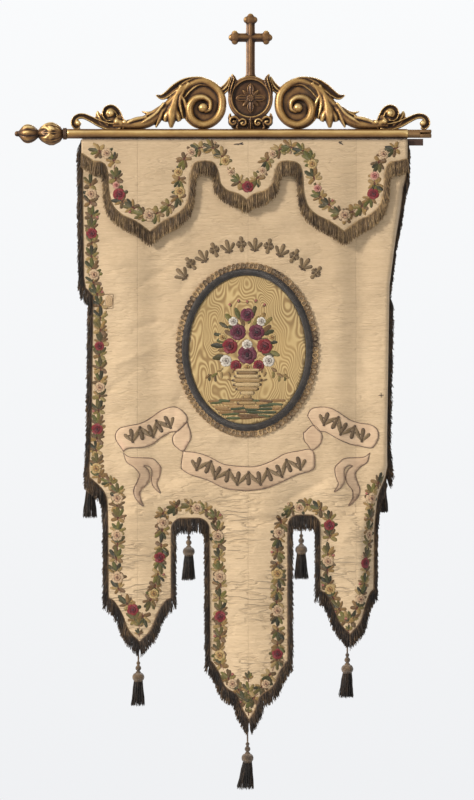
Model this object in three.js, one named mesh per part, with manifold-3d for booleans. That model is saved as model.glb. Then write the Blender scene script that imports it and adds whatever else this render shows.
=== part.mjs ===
// Church banner: a silk cloth with three pendants, a valance, an oval panel, fringes and seven tassels, hung under
// a gilt rod that carries a carved crest. Millimetres, +Z up, the front faces -Y.
// The origin is the centre of the flat back of the crest's medallion.
import * as THREE from "three";
import Module from "manifold-3d";
import { mergeVertices } from "three/addons/utils/BufferGeometryUtils.js";

const wasm = await Module();
wasm.setup();

// Driving dimensions of the woodwork.
const ROD = { radius: 14.5, y: -15, z: -106, left: -549, right: 470 };
const TENON = { radius: 12.5, right: 541, slot: 7, slotLength: 34 };
const BATTEN = { left: -500, right: 517, top: -121, bottom: -140, back: -1, front: -12.5 };
const MEDALLION = { radius: 67.5, ring: 12, ringDepth: 22, faceDepth: 15 };
const CROSS = { half: 13.5, back: -3, depth: 16, base: 60, armZ: 183, armReach: 66, top: 255 };
const BUD = { radius: 9, ahead: 5, back: 4, aside: 12 };
const CLEARANCE = 0.4;

// Driving dimensions of the cloth. Across is measured from the crest's middle; the cloth hangs a little left of it.
const CLOTH = { middle: -18, halfWidth: 487.5, top: -125, y: -16.5, thickness: 2.6 };
const VALANCE = { top: -123, inFront: 7.5, thickness: 2.2, leftEnd: -166, rightEnd: -183 };
const HEADING = { inside: 3, outside: 2, thickness: 2.8, gap: 1.8, trim: 3, sharp: 35 };
const FRINGE = { drop: 41, splay: 0.42, sideDrop: 36, forward: 9, width: 20, taper: 0.3 };

// Cloth's side edge: how far it stands in from the full half width, at each height.
const SIDE_ROWS = [
  { z: -348, inset: 1.5 },
  { z: -537, inset: 4 },
  { z: -567, inset: 9 },
  { z: -591, inset: 32 },
  { z: -843, inset: 28.5 },
  { z: -978, inset: 27 },
  { z: -1107, inset: 19.5 },
  { z: -1134, inset: 21 },
];
const SHOULDER_ROWS = [
  { z: -1167, inset: 57 },
  { z: -1197, inset: 72 },
  { z: -1250, inset: 76 },
];

// Pendants: middle across, half width, height where the straight sides end, and the outline on to the tip.
const PENDANTS = [
  { name: "left", middle: -332, half: 96, straight: -1496 },
  { name: "centre", middle: -5, half: 118, straight: -1683 },
  { name: "right", middle: 297, half: 91, straight: -1474 },
];
const SIDE_TIP_ROWS = [
  { out: 96, drop: 0 },
  { out: 77, drop: 11 },
  { out: 55, drop: 46 },
  { out: 34, drop: 95 },
  { out: 0, drop: 133 },
];
const CENTRE_TIP_ROWS = [
  { out: 118, drop: 0 },
  { out: 107, drop: 12 },
  { out: 91, drop: 38 },
  { out: 72, drop: 79 },
  { out: 37, drop: 103 },
  { out: 22, drop: 141 },
  { out: 0, drop: 182 },
];
const NOTCHES = [
  { name: "left", left: -236, right: -126, top: -1258, corner: 32 },
  { name: "right", left: 113, right: 206, top: -1249, corner: 30 },
];

// Valance lobes: middle across and the outline from the notch top beside the lobe to its point.
const LOBES = [
  { middle: -303, rows: "big" },
  { middle: -12.5, rows: "small" },
  { middle: 278, rows: "big" },
];
const LOBE_ROWS = {
  big: [
    { out: 168, z: -189 },
    { out: 138, z: -196 },
    { out: 126, z: -222 },
    { out: 121, z: -282 },
    { out: 108, z: -324 },
    { out: 80, z: -351 },
    { out: 42, z: -370 },
    { out: 0, z: -401 },
  ],
  small: [
    { out: 122.5, z: -189 },
    { out: 99, z: -195 },
    { out: 87, z: -220 },
    { out: 79, z: -256 },
    { out: 58, z: -277 },
    { out: 24, z: -288 },
    { out: 0, z: -306 },
  ],
};

// Soft folds of the hung cloth: a line from one place to another, its half width and its depth, minus forward.
const FOLDS = [
  { fromX: -365, fromZ: -330, toX: -350, toZ: -1180, width: 85, depth: -10 },
  { fromX: -288, fromZ: -420, toX: -285, toZ: -1120, width: 40, depth: 6 },
  { fromX: 272, fromZ: -430, toX: 262, toZ: -1150, width: 45, depth: -7 },
  { fromX: 325, fromZ: -260, toX: 322, toZ: -1200, width: 48, depth: 9 },
  { fromX: -430, fromZ: -1215, toX: -250, toZ: -1120, width: 42, depth: 7 },
  { fromX: -300, fromZ: -1205, toX: -190, toZ: -1170, width: 30, depth: -6 },
  { fromX: 120, fromZ: -1225, toX: 225, toZ: -1130, width: 42, depth: 7 },
  { fromX: 365, fromZ: -1235, toX: 275, toZ: -1350, width: 46, depth: -9 },
  { fromX: -345, fromZ: -1290, toX: -325, toZ: -1580, width: 60, depth: -9 },
  { fromX: -95, fromZ: -1300, toX: -90, toZ: -1660, width: 42, depth: 7 },
  { fromX: 30, fromZ: -1290, toX: 10, toZ: -1800, width: 70, depth: -9 },
  { fromX: 235, fromZ: -1300, toX: 250, toZ: -1560, width: 42, depth: 6 },
];

// The right edge curls back: where the curl starts, how far it turns, and how tight it is, at each height.
const CURL_ROWS = [
  { z: -120, start: 478, turn: 0, radius: 20 },
  { z: -180, start: 470, turn: 5, radius: 20 },
  { z: -265, start: 438, turn: 62, radius: 16 },
  { z: -420, start: 420, turn: 88, radius: 14 },
  { z: -560, start: 403, turn: 98, radius: 13 },
  { z: -1000, start: 396, turn: 100, radius: 13 },
  { z: -1100, start: 393, turn: 84, radius: 16 },
  { z: -1190, start: 356, turn: 66, radius: 22 },
  { z: -1300, start: 322, turn: 52, radius: 34 },
  { z: -1500, start: 314, turn: 46, radius: 40 },
  { z: -1900, start: 314, turn: 40, radius: 40 },
];

const OVAL = { x: -10, z: -753, acrossInner: 175, upInner: 222, cordWidth: 20, cordDepth: 8, braidOut: 21 };
const BRAID = { loops: 62, scallop: 3.5, thickness: 1.6 };

// Tassels: place across, how far behind the cloth's plane, height that the cord hangs from, top of the head,
// skirt's end, radius of the head's cap, radius of the skirt, and how far the skirt's foot swings sideways.
const TASSELS = [
  { name: "left_tip", x: -336, behind: 5, from: -1619, head: -1718, foot: -1821, cap: 16, skirt: 21, swing: -2 },
  { name: "left_notch", x: -185, behind: 6, from: -1250, head: -1342, foot: -1446, cap: 16, skirt: 20, swing: -2 },
  { name: "centre_tip", x: -9, behind: 3, from: -1857, head: -1960, foot: -2070, cap: 16, skirt: 25, swing: -7 },
  { name: "right_notch", x: 152, behind: 10, from: -1240, head: -1337, foot: -1443, cap: 16, skirt: 21, swing: 0 },
  { name: "right_tip", x: 290, behind: 8, from: -1600, head: -1694, foot: -1797, cap: 16, skirt: 22, swing: -3 },
  { name: "left_shoulder", x: -482, behind: 28, from: -1120, head: -1150, foot: -1260, cap: 15, skirt: 21, swing: 0 },
  { name: "right_shoulder", x: 398, behind: 68, from: -1110, head: -1146, foot: -1246, cap: 15, skirt: 18, swing: 0 },
];
const TASSEL_LOCKS = 8;

// Surface colours, roughness and metalness.
const FINISHES = {
  gilt: { color: 0xaa8046, roughness: 0.42, metalness: 0.75 },
  dark_wood: { color: 0x3b2a20, roughness: 0.7, metalness: 0 },
  silk: { color: 0xdec49a, roughness: 0.55, metalness: 0 },
  moire: { color: 0xcdb473, roughness: 0.45, metalness: 0 },
  cord: { color: 0x48443f, roughness: 0.7, metalness: 0 },
  braid: { color: 0x8c7050, roughness: 0.7, metalness: 0 },
  valance_fringe: { color: 0x736750, roughness: 0.8, metalness: 0 },
  dark_fringe: { color: 0x302a26, roughness: 0.8, metalness: 0 },
  tassel: { color: 0x5a4630, roughness: 0.8, metalness: 0 },
};

const banner = new THREE.Group();

function addPiece(name, geometry, finish) {
  const mesh = new THREE.Mesh(geometry, new THREE.MeshStandardMaterial(FINISHES[finish]));
  mesh.name = name;
  banner.add(mesh);
}

// Solids from geometries and back.
function solidOf(geometry) {
  geometry.deleteAttribute("normal");
  geometry.deleteAttribute("uv");
  const merged = mergeVertices(geometry, 1e-4);
  const mesh = new wasm.Mesh({
    numProp: 3,
    vertProperties: merged.attributes.position.array,
    triVerts: new Uint32Array(merged.index.array),
  });
  return new wasm.Manifold(mesh);
}

function geometryOf(solid) {
  const mesh = solid.getMesh();
  const geometry = new THREE.BufferGeometry();
  geometry.setAttribute("position", new THREE.BufferAttribute(mesh.vertProperties, 3));
  geometry.setIndex(new THREE.BufferAttribute(mesh.triVerts, 1));
  geometry.computeVertexNormals();
  return geometry;
}

function joined(geometries) {
  return geometries.map(solidOf).reduce((sum, next) => sum.add(next));
}

// A closed body from its points and faces, turned the right way out.
function closedBody(points, faces) {
  let volume = 0;
  for (let i = 0; i < faces.length; i += 3) {
    volume += points[faces[i]].dot(points[faces[i + 1]].clone().cross(points[faces[i + 2]]));
  }
  if (volume < 0) faces.reverse();
  const geometry = new THREE.BufferGeometry().setFromPoints(points);
  geometry.setIndex(faces);
  geometry.computeVertexNormals();
  return geometry;
}

// A closed body through rings of points with as many points each; a round one runs back into its first ring.
function loft(rings, round = false) {
  const sides = rings[0].length;
  const points = rings.flat();
  const faces = [];
  const spans = round ? rings.length : rings.length - 1;
  for (let r = 0; r < spans; r++) {
    const next = ((r + 1) % rings.length) * sides;
    for (let s = 0; s < sides; s++) {
      const t = (s + 1) % sides;
      faces.push(r * sides + s, r * sides + t, next + t);
      faces.push(r * sides + s, next + t, next + s);
    }
  }
  const last = (rings.length - 1) * sides;
  for (let s = 1; s < sides - 1 && !round; s++) {
    faces.push(0, s + 1, s);
    faces.push(last, last + s, last + s + 1);
  }
  return closedBody(points, faces);
}

// A value between the rows of a table, read down its z column.
function alongRows(rows, z, column) {
  if (z >= rows[0].z) return rows[0][column];
  for (let i = 1; i < rows.length; i++) {
    if (z >= rows[i].z) {
      const share = (rows[i - 1].z - z) / (rows[i - 1].z - rows[i].z);
      return THREE.MathUtils.lerp(rows[i - 1][column], rows[i][column], share);
    }
  }
  return rows[rows.length - 1][column];
}

// How far the cloth stands back at a place, from its folds.
function foldDepth(x, z) {
  let depth = 0;
  for (const fold of FOLDS) {
    const alongX = fold.toX - fold.fromX;
    const alongZ = fold.toZ - fold.fromZ;
    const length = Math.hypot(alongX, alongZ);
    const along = ((x - fold.fromX) * alongX + (z - fold.fromZ) * alongZ) / length;
    const aside = ((x - fold.fromX) * alongZ - (z - fold.fromZ) * alongX) / length;
    const past = Math.max(-along, along - length, 0);
    depth += fold.depth * Math.exp(-((aside / fold.width) ** 2) - (past / (1.6 * fold.width)) ** 2);
  }
  return depth;
}

// Where a flat place of the cloth comes to hang; the valance stays clear of the curl.
function hungPoint(x, z, curled) {
  const point = new THREE.Vector3(x, CLOTH.y + foldDepth(x, z), z);
  const start = alongRows(CURL_ROWS, z, "start");
  const turn = THREE.MathUtils.degToRad(alongRows(CURL_ROWS, z, "turn"));
  const radius = alongRows(CURL_ROWS, z, "radius");
  if (!curled || x <= start || turn === 0) return point;
  const angle = Math.min((x - start) / radius, turn);
  const rest = Math.max(x - start - radius * turn, 0);
  point.x = start + radius * Math.sin(angle) + rest * Math.cos(turn);
  point.y += radius * (1 - Math.cos(angle)) + rest * Math.sin(turn);
  return point;
}

// The same place at a distance in front of the cloth's middle (minus) or behind it.
function hung(x, depth, z, curled = true) {
  const reach = 2;
  const across = hungPoint(x + reach, z, curled).sub(hungPoint(x - reach, z, curled));
  const up = hungPoint(x, z + reach, curled).sub(hungPoint(x, z - reach, curled));
  const back = up.cross(across).normalize();
  return hungPoint(x, z, curled).addScaledVector(back, depth);
}

// Points at even steps on a smooth line through a few places.
function smoothLine(places, step) {
  const curve = new THREE.SplineCurve(places);
  return curve.getSpacedPoints(Math.max(2, Math.round(curve.getLength() / step)));
}

function withoutDoubles(points) {
  return points.filter((point, i) => i === 0 || point.distanceTo(points[i - 1]) > 0.5);
}

const OUTLINE_STEP = 26;

// Left side of the cloth down to its shoulder, and the same on the right, from the top down.
function sideRun(direction) {
  const across = (inset) => CLOTH.middle + direction * (CLOTH.halfWidth - inset);
  const places = SIDE_ROWS.map((row) => new THREE.Vector2(across(row.inset), row.z));
  places.unshift(new THREE.Vector2(across(0), CLOTH.top));
  return places;
}

function shoulderRun(direction) {
  const across = (inset) => CLOTH.middle + direction * (CLOTH.halfWidth - inset);
  const places = SHOULDER_ROWS.map((row) => new THREE.Vector2(across(row.inset), row.z));
  places.unshift(sideRun(direction).pop());
  return smoothLine(places, OUTLINE_STEP);
}

// Half of a pendant's tip, from its straight side to its point.
function tipRun(pendant, direction) {
  const rows = pendant.name === "centre" ? CENTRE_TIP_ROWS : SIDE_TIP_ROWS;
  const widen = pendant.half / rows[0].out;
  const places = rows.map(
    (row) => new THREE.Vector2(pendant.middle + direction * row.out * widen, pendant.straight - row.drop),
  );
  return smoothLine(places, OUTLINE_STEP);
}

// Half of a notch: from the middle of its top round the corner and down its side.
function notchRun(notch, direction) {
  const middle = (notch.left + notch.right) / 2;
  const side = direction < 0 ? notch.left : notch.right;
  const centre = new THREE.Vector2(side - direction * notch.corner, notch.top - notch.corner);
  const run = [new THREE.Vector2(middle, notch.top)];
  const steps = 4;
  for (let i = 0; i <= steps; i++) {
    const angle = Math.PI / 2 - (direction * Math.PI * i) / (2 * steps);
    run.push(new THREE.Vector2(Math.cos(angle), Math.sin(angle)).multiplyScalar(notch.corner).add(centre));
  }
  return run;
}

const [leftPendant, centrePendant, rightPendant] = PENDANTS;
const [leftNotch, rightNotch] = NOTCHES;

// The cloth's edge from its top left corner round to its top right, in the runs that the fringes follow.
const RUNS = {
  side_left: sideRun(-1),
  pendant_left: [
    ...shoulderRun(-1),
    ...tipRun(leftPendant, -1),
    ...tipRun(leftPendant, 1).reverse(),
    ...notchRun(leftNotch, -1).reverse(),
  ],
  pendant_centre: [
    ...notchRun(leftNotch, 1),
    ...tipRun(centrePendant, -1),
    ...tipRun(centrePendant, 1).reverse(),
    ...notchRun(rightNotch, -1).reverse(),
  ],
  pendant_right: [
    ...notchRun(rightNotch, 1),
    ...tipRun(rightPendant, -1),
    ...tipRun(rightPendant, 1).reverse(),
    ...shoulderRun(1).reverse(),
  ],
  side_right: sideRun(1).reverse(),
};
for (const name of Object.keys(RUNS)) RUNS[name] = withoutDoubles(RUNS[name]);

// The valance's lower edge from left to right.
function valanceRun() {
  const run = [new THREE.Vector2(CLOTH.middle - CLOTH.halfWidth, VALANCE.leftEnd)];
  for (const lobe of LOBES) {
    const rows = LOBE_ROWS[lobe.rows];
    const half = (direction) =>
      smoothLine(rows.map((row) => new THREE.Vector2(lobe.middle + direction * row.out, row.z)), 18);
    run.push(...half(-1), ...half(1).reverse());
  }
  run.push(new THREE.Vector2(CLOTH.middle + CLOTH.halfWidth, VALANCE.rightEnd));
  return withoutDoubles(run);
}
RUNS.valance = valanceRun();

// A sheet: a slab on a grid whose columns follow the curl, cut to its outline, then hung.
// A shallow dish keeps the grid's points through the cut, and is taken out again before hanging.
const DISH = 4e-5;
const GRID = { left: -515, top: -118, column: 60, row: 57, flatEnd: 420, right: 482 };
const CURL_COLUMNS = { count: 4, step: 13 };

function dishDepth(x, z) {
  return DISH * (x * x + z * z);
}

// The slab's two faces share their diagonals, so that they stay apart in a tight fold.
function slab(across, heights, thickness) {
  const columns = across(heights[0]).length;
  const points = [];
  const faces = [];
  const quad = (a, b, c, d) => faces.push(a, b, c, a, c, d);
  for (const layer of [-thickness / 2, thickness / 2]) {
    for (const z of heights) {
      for (const x of across(z)) points.push(new THREE.Vector3(x, layer + dishDepth(x, z), z));
    }
  }
  const back = columns * heights.length;
  const at = (row, column) => row * columns + column;
  for (let r = 0; r < heights.length - 1; r++) {
    for (let c = 0; c < columns - 1; c++) {
      quad(at(r, c), at(r + 1, c), at(r + 1, c + 1), at(r, c + 1));
      const [a, b, d, e] = [at(r, c), at(r + 1, c), at(r + 1, c + 1), at(r, c + 1)].map((k) => back + k);
      faces.push(a, d, b, a, e, d);
    }
  }
  const rim = (a, b) => quad(a, b, back + b, back + a);
  const bottom = heights.length - 1;
  for (let c = 0; c < columns - 1; c++) {
    rim(at(0, c), at(0, c + 1));
    rim(at(bottom, c + 1), at(bottom, c));
  }
  for (let r = 0; r < bottom; r++) {
    rim(at(r + 1, 0), at(r, 0));
    rim(at(r, columns - 1), at(r + 1, columns - 1));
  }
  return closedBody(points, faces);
}

function evenly(from, to, count) {
  return Array.from({ length: count + 1 }, (_, i) => THREE.MathUtils.lerp(from, to, i / count));
}

// Columns at a height: even ones up to the curl's start, then close ones round the curl.
function columnsAt(z, curled) {
  const start = curled ? alongRows(CURL_ROWS, z, "start") - 2 : GRID.flatEnd;
  const columns = evenly(GRID.left, start, Math.round((GRID.flatEnd - GRID.left) / GRID.column));
  for (let i = 1; i <= CURL_COLUMNS.count && curled; i++) columns.push(start + i * CURL_COLUMNS.step);
  columns.push(Math.max(GRID.right, columns[columns.length - 1] + 1));
  return columns;
}

function sheet(outline, bottom, thickness, inFront, curled) {
  const heights = evenly(GRID.top, bottom, Math.round((GRID.top - bottom) / GRID.row));
  const whole = slab((z) => columnsAt(z, curled), heights, thickness);
  const cutter = new THREE.ExtrudeGeometry(new THREE.Shape(outline), { depth: 400, bevelEnabled: false });
  cutter.rotateX(Math.PI / 2).translate(0, 300, 0);
  const cut = geometryOf(solidOf(whole).intersect(solidOf(cutter)));
  const point = cut.attributes.position;
  for (let i = 0; i < point.count; i++) {
    const [x, y, z] = [point.getX(i), point.getY(i), point.getZ(i)];
    const at = hung(x, y - dishDepth(x, z) - inFront, z, curled);
    point.setXYZ(i, at.x, at.y, at.z);
  }
  cut.computeVertexNormals();
  return cut;
}

// Cloth and valance.
const clothOutline = withoutDoubles([
  ...RUNS.side_left,
  ...RUNS.pendant_left,
  ...RUNS.pendant_centre,
  ...RUNS.pendant_right,
  ...RUNS.side_right,
]);
addPiece("banner_cloth", sheet(clothOutline, -1890, CLOTH.thickness, 0, true), "silk");

const valanceOutline = [
  ...RUNS.valance,
  new THREE.Vector2(CLOTH.middle + CLOTH.halfWidth, VALANCE.top),
  new THREE.Vector2(CLOTH.middle - CLOTH.halfWidth, VALANCE.top),
];
addPiece("valance", sheet(valanceOutline, -410, VALANCE.thickness, VALANCE.inFront, false), "silk");

// Fringe: a narrow heading along an edge, with locks that grow from its outer face and hang, all one body.
// A run is walked with the cloth on its left, so the outward side is on its right hand.
function outward(walk) {
  return new THREE.Vector2(walk.y, -walk.x);
}

function walkAt(run, i) {
  return run[i + 1].clone().sub(run[i]).normalize();
}

function trimmed(run) {
  const points = run.map((point) => point.clone());
  const last = points.length - 1;
  points[0].lerp(points[1], HEADING.trim / points[0].distanceTo(points[1]));
  points[last].lerp(points[last - 1], HEADING.trim / points[last].distanceTo(points[last - 1]));
  return points;
}

// The stretches of a run between its sharp corners.
function stretches(run) {
  const parts = [[run[0]]];
  for (let i = 1; i < run.length; i++) {
    parts[parts.length - 1].push(run[i]);
    if (i === run.length - 1) break;
    const bend = walkAt(run, i - 1).dot(walkAt(run, i));
    if (bend < Math.cos(THREE.MathUtils.degToRad(HEADING.sharp))) parts.push([run[i]]);
  }
  return parts;
}

function placeAlong(part, distance) {
  let rest = distance;
  for (let i = 0; i < part.length - 1; i++) {
    const length = part[i].distanceTo(part[i + 1]);
    const walk = walkAt(part, i);
    if (rest <= length || i === part.length - 2) {
      return { at: part[i].clone().addScaledVector(walk, rest), side: outward(walk) };
    }
    rest -= length;
  }
  return null;
}

function lengthOf(part) {
  return part.reduce((sum, point, i) => sum + (i ? point.distanceTo(part[i - 1]) : 0), 0);
}

// Places along the heading; a lock grows between a place marked so and the next one.
function headingPlaces(run, pitch) {
  const places = [];
  stretches(trimmed(run)).forEach((part) => {
    const total = lengthOf(part);
    const count = Math.max(1, Math.round(total / pitch));
    const half = Math.min(FRINGE.width, 0.62 * (total / count)) / 2;
    const start = placeAlong(part, 0);
    const corner = places.pop();
    if (corner) {
      const both = corner.side.clone().add(start.side).normalize();
      start.side = both.divideScalar(Math.max(both.dot(start.side), 0.4));
    }
    places.push(start);
    for (let k = 0; k < count; k++) {
      const middle = ((k + 0.5) * total) / count;
      places.push({ ...placeAlong(part, middle - half), lock: true });
      places.push(placeAlong(part, middle + half));
    }
    places.push(placeAlong(part, total));
  });
  return places;
}

// How a lock falls from its root: the more its edge faces sideways, the more it splays out.
function fallOf(side, facing, flare) {
  const sideways = side.x ** 2;
  const drop = THREE.MathUtils.lerp(FRINGE.drop, FRINGE.sideDrop, sideways);
  const fall = new THREE.Vector3(flare, -FRINGE.forward * (1 - sideways), -drop);
  const level = new THREE.Vector3(facing.x, facing.y, 0);
  return fall.addScaledVector(level, FRINGE.splay * drop * Math.abs(side.x));
}

function fringe(run, clothFront, { pitch, flare, curled }) {
  const places = headingPlaces(run, pitch);
  const back = -(clothFront + HEADING.gap);
  const front = back - HEADING.thickness;
  const points = [];
  const faces = [];
  const quad = (a, b, c, d) => faces.push(a, b, c, a, c, d);
  places.forEach((place) => {
    const inner = place.at.clone().addScaledVector(place.side, -HEADING.inside);
    const outer = place.at.clone().addScaledVector(place.side, HEADING.outside);
    points.push(hung(inner.x, (front + back) / 2, inner.y, curled));
    points.push(hung(outer.x, front, outer.y, curled));
    points.push(hung(outer.x, back, outer.y, curled));
  });
  const inner = (i) => 3 * i;
  const outerFront = (i) => 3 * i + 1;
  const outerBack = (i) => 3 * i + 2;
  for (let i = 0; i < places.length - 1; i++) {
    quad(inner(i), inner(i + 1), outerFront(i + 1), outerFront(i));
    quad(inner(i + 1), inner(i), outerBack(i), outerBack(i + 1));
    if (!places[i].lock) {
      quad(outerFront(i), outerFront(i + 1), outerBack(i + 1), outerBack(i));
      continue;
    }
    const facing = points[outerFront(i)].clone().sub(points[inner(i)]).normalize();
    const fall = fallOf(places[i].side, facing, flare);
    const ends = [i, i + 1].map((k) => points[outerFront(k)].clone().lerp(points[outerBack(k)], 0.5));
    const centre = ends[0].clone().lerp(ends[1], 0.5);
    const tips = ends.map((end) => points.push(end.clone().lerp(centre, FRINGE.taper).add(fall)) - 1);
    quad(outerFront(i), outerFront(i + 1), tips[1], tips[0]);
    quad(outerBack(i + 1), outerBack(i), tips[0], tips[1]);
    faces.push(outerFront(i), tips[0], outerBack(i));
    faces.push(outerFront(i + 1), outerBack(i + 1), tips[1]);
  }
  const last = places.length - 1;
  faces.push(inner(0), outerFront(0), outerBack(0));
  faces.push(inner(last), outerBack(last), outerFront(last));
  return closedBody(points, faces);
}

const FRINGES = [
  { name: "side_left", pitch: 33, flare: 0, curled: true },
  { name: "pendant_left", pitch: 33, flare: 0, curled: true },
  { name: "pendant_centre", pitch: 33, flare: 0, curled: true },
  { name: "pendant_right", pitch: 33, flare: 0, curled: true },
  { name: "side_right", pitch: 33, flare: 12, curled: true },
];
for (const row of FRINGES) {
  addPiece(`fringe_${row.name}`, fringe(RUNS[row.name], CLOTH.thickness / 2, row), "dark_fringe");
}
const valanceFront = VALANCE.inFront + VALANCE.thickness / 2;
const valanceLocks = { pitch: 31, flare: 0, curled: false };
addPiece("fringe_valance", fringe(RUNS.valance, valanceFront, valanceLocks), "valance_fringe");

// Oval panel with its wrapped cord and looped braid, all in front of the cloth.
function ovalPlace(angle, across, up, depth) {
  const x = OVAL.x + across * Math.cos(angle);
  const z = OVAL.z + up * Math.sin(angle);
  return hung(x, depth, z);
}

function ovalBand(steps, sectionAt) {
  const rings = [];
  for (let i = 0; i < steps; i++) {
    const angle = (2 * Math.PI * i) / steps;
    rings.push(sectionAt(i).map((corner) =>
      ovalPlace(angle, OVAL.acrossInner + corner.out, OVAL.upInner + corner.out, -corner.depth)));
  }
  return loft(rings, true);
}

const onCloth = CLOTH.thickness / 2 + 1.4;
const panelDepth = { back: onCloth, front: onCloth + 1.2 };
function ovalPanel() {
  const steps = 36;
  const shares = [0.4, 0.72, 1];
  const rings = [];
  for (const depth of [panelDepth.back, panelDepth.front]) {
    const order = depth === panelDepth.back ? shares : shares.slice().reverse();
    for (const share of order) {
      const ring = [];
      for (let i = 0; i < steps; i++) {
        const angle = (2 * Math.PI * i) / steps;
        ring.push(ovalPlace(angle, OVAL.acrossInner * share, OVAL.upInner * share, -depth));
      }
      rings.push(ring);
    }
  }
  return loft(rings);
}
addPiece("oval_panel", ovalPanel(), "moire");

const cordSection = [
  { out: 1, depth: onCloth },
  { out: OVAL.cordWidth * 0.2, depth: onCloth + OVAL.cordDepth * 0.9 },
  { out: OVAL.cordWidth * 0.8, depth: onCloth + OVAL.cordDepth * 0.9 },
  { out: OVAL.cordWidth, depth: onCloth },
];
addPiece("oval_cord_ring", ovalBand(48, () => cordSection), "cord");

function braidSection(i) {
  const edge = OVAL.braidOut + OVAL.cordWidth + (i % 2 ? 0 : -BRAID.scallop);
  const inner = OVAL.cordWidth + 0.6;
  return [
    { out: inner, depth: onCloth },
    { out: edge, depth: onCloth + BRAID.thickness },
    { out: edge, depth: onCloth },
  ];
}
addPiece("oval_looped_braid", ovalBand(2 * BRAID.loops, braidSection), "braid");

// A tassel: cord, two beads and a turned head, with locks rooted in the head for its skirt.
function tassel(row) {
  const cord = 1.8;
  const profile = [
    { radius: 0, z: row.from },
    { radius: cord, z: row.from },
    { radius: cord, z: row.head + 21 },
    { radius: 9, z: row.head + 12 },
    { radius: 5, z: row.head + 2 },
    { radius: row.cap, z: row.head - 9 },
    { radius: row.cap * 0.9, z: row.head - 27 },
    { radius: 0, z: row.head - 27 },
  ].filter((place) => place.z <= row.from);
  const outline = profile.map((place) => new THREE.Vector2(place.radius, place.z)).reverse();
  const turned = new THREE.LatheGeometry(outline, 8);
  turned.rotateX(Math.PI / 2);
  const pieces = [turned];
  for (let k = 0; k < TASSEL_LOCKS; k++) {
    const angle = (2 * Math.PI * (k + 0.5)) / TASSEL_LOCKS;
    const out = new THREE.Vector3(Math.cos(angle), Math.sin(angle), 0);
    const round = new THREE.Vector3(-out.y, out.x, 0);
    const section = (radius, half, thick, z, swing) =>
      [[-1, -1], [1, -1], [1, 1], [-1, 1]].map(([a, b]) =>
        new THREE.Vector3(swing, 0, z)
          .addScaledVector(out, radius + (b * thick) / 2)
          .addScaledVector(round, a * half));
    const root = section(row.cap * 0.62, 3.6, 5, row.head - 20, 0);
    const foot = section(row.skirt - 3, 4.6, 5, row.foot + (k % 2 ? 5 : 0), row.swing);
    pieces.push(loft([root, foot]));
  }
  return joined(pieces);
}

for (const row of TASSELS) {
  const piece = geometryOf(tassel(row));
  piece.translate(row.x, CLOTH.y + row.behind, 0);
  addPiece(`tassel_${row.name}`, piece, "tassel");
}

// Woodwork. Lathe profiles run along the rod, from left to right.
function turnedAlongRod(places, segments, lobes = 0, lobeDepth = 0) {
  const profile = places.map((place) => new THREE.Vector2(place.radius, place.x));
  const lathe = new THREE.LatheGeometry(profile, segments);
  lathe.rotateZ(-Math.PI / 2);
  const point = lathe.attributes.position;
  for (let i = 0; i < point.count && lobes; i++) {
    const angle = Math.atan2(point.getY(i), point.getZ(i));
    const swell = 1 + lobeDepth * Math.cos(lobes * angle);
    point.setXYZ(i, point.getX(i), point.getY(i) * swell, point.getZ(i) * swell);
  }
  return solidOf(lathe.translate(0, ROD.y, ROD.z));
}

function box(minimum, maximum) {
  const size = maximum.clone().sub(minimum);
  const geometry = new THREE.BoxGeometry(size.x, size.y, size.z);
  const middle = minimum.clone().add(maximum).multiplyScalar(0.5);
  return geometry.translate(middle.x, middle.y, middle.z);
}

const rod = turnedAlongRod([
  { radius: 0, x: ROD.left },
  { radius: ROD.radius, x: ROD.left },
  { radius: ROD.radius, x: ROD.right },
  { radius: TENON.radius, x: ROD.right },
  { radius: TENON.radius, x: TENON.right },
  { radius: 0, x: TENON.right },
], 24);
const slot = solidOf(box(
  new THREE.Vector3(TENON.right - TENON.slotLength, ROD.y - 40, ROD.z - TENON.slot / 2),
  new THREE.Vector3(TENON.right + 10, ROD.y + 40, ROD.z + TENON.slot / 2),
));
addPiece("rod", geometryOf(rod.subtract(slot)), "gilt");
addPiece("finial_collar", geometryOf(turnedAlongRod([
  { radius: 0, x: -562 },
  { radius: 15.5, x: -562 },
  { radius: 17.5, x: -558 },
  { radius: 17.5, x: -553 },
  { radius: 15.5, x: ROD.left - CLEARANCE },
  { radius: 0, x: ROD.left - CLEARANCE },
], 20)), "gilt");
addPiece("finial_bulb", geometryOf(turnedAlongRod([
  { radius: 0, x: -634 },
  { radius: 15, x: -634 },
  { radius: 21, x: -626 },
  { radius: 29, x: -612 },
  { radius: 33, x: -600 },
  { radius: 30, x: -584 },
  { radius: 21, x: -570 },
  { radius: 15, x: -562 - CLEARANCE },
  { radius: 0, x: -562 - CLEARANCE },
], 16, 8, 0.07)), "gilt");
addPiece("finial_bud", geometryOf(turnedAlongRod([
  { radius: 0, x: -706 },
  { radius: 5, x: -704 },
  { radius: 7, x: -698 },
  { radius: 10, x: -692 },
  { radius: 21, x: -682 },
  { radius: 26, x: -667 },
  { radius: 22, x: -650 },
  { radius: 14, x: -638 },
  { radius: 14, x: -634 - CLEARANCE },
  { radius: 0, x: -634 - CLEARANCE },
], 16, 8, 0.07)), "gilt");
addPiece("batten", box(
  new THREE.Vector3(BATTEN.left, BATTEN.front, BATTEN.bottom),
  new THREE.Vector3(BATTEN.right, BATTEN.back, BATTEN.top),
), "dark_wood");

// Carved strokes: each is a smooth line on the crest with a half width and a depth at each of its places,
// flat at the back and rounded in front. Out is the distance from the crest's middle.
const CARVED_SECTION = [
  { side: -1, front: 0 },
  { side: -0.55, front: 1 },
  { side: 0.55, front: 1 },
  { side: 1, front: 0 },
];

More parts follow.
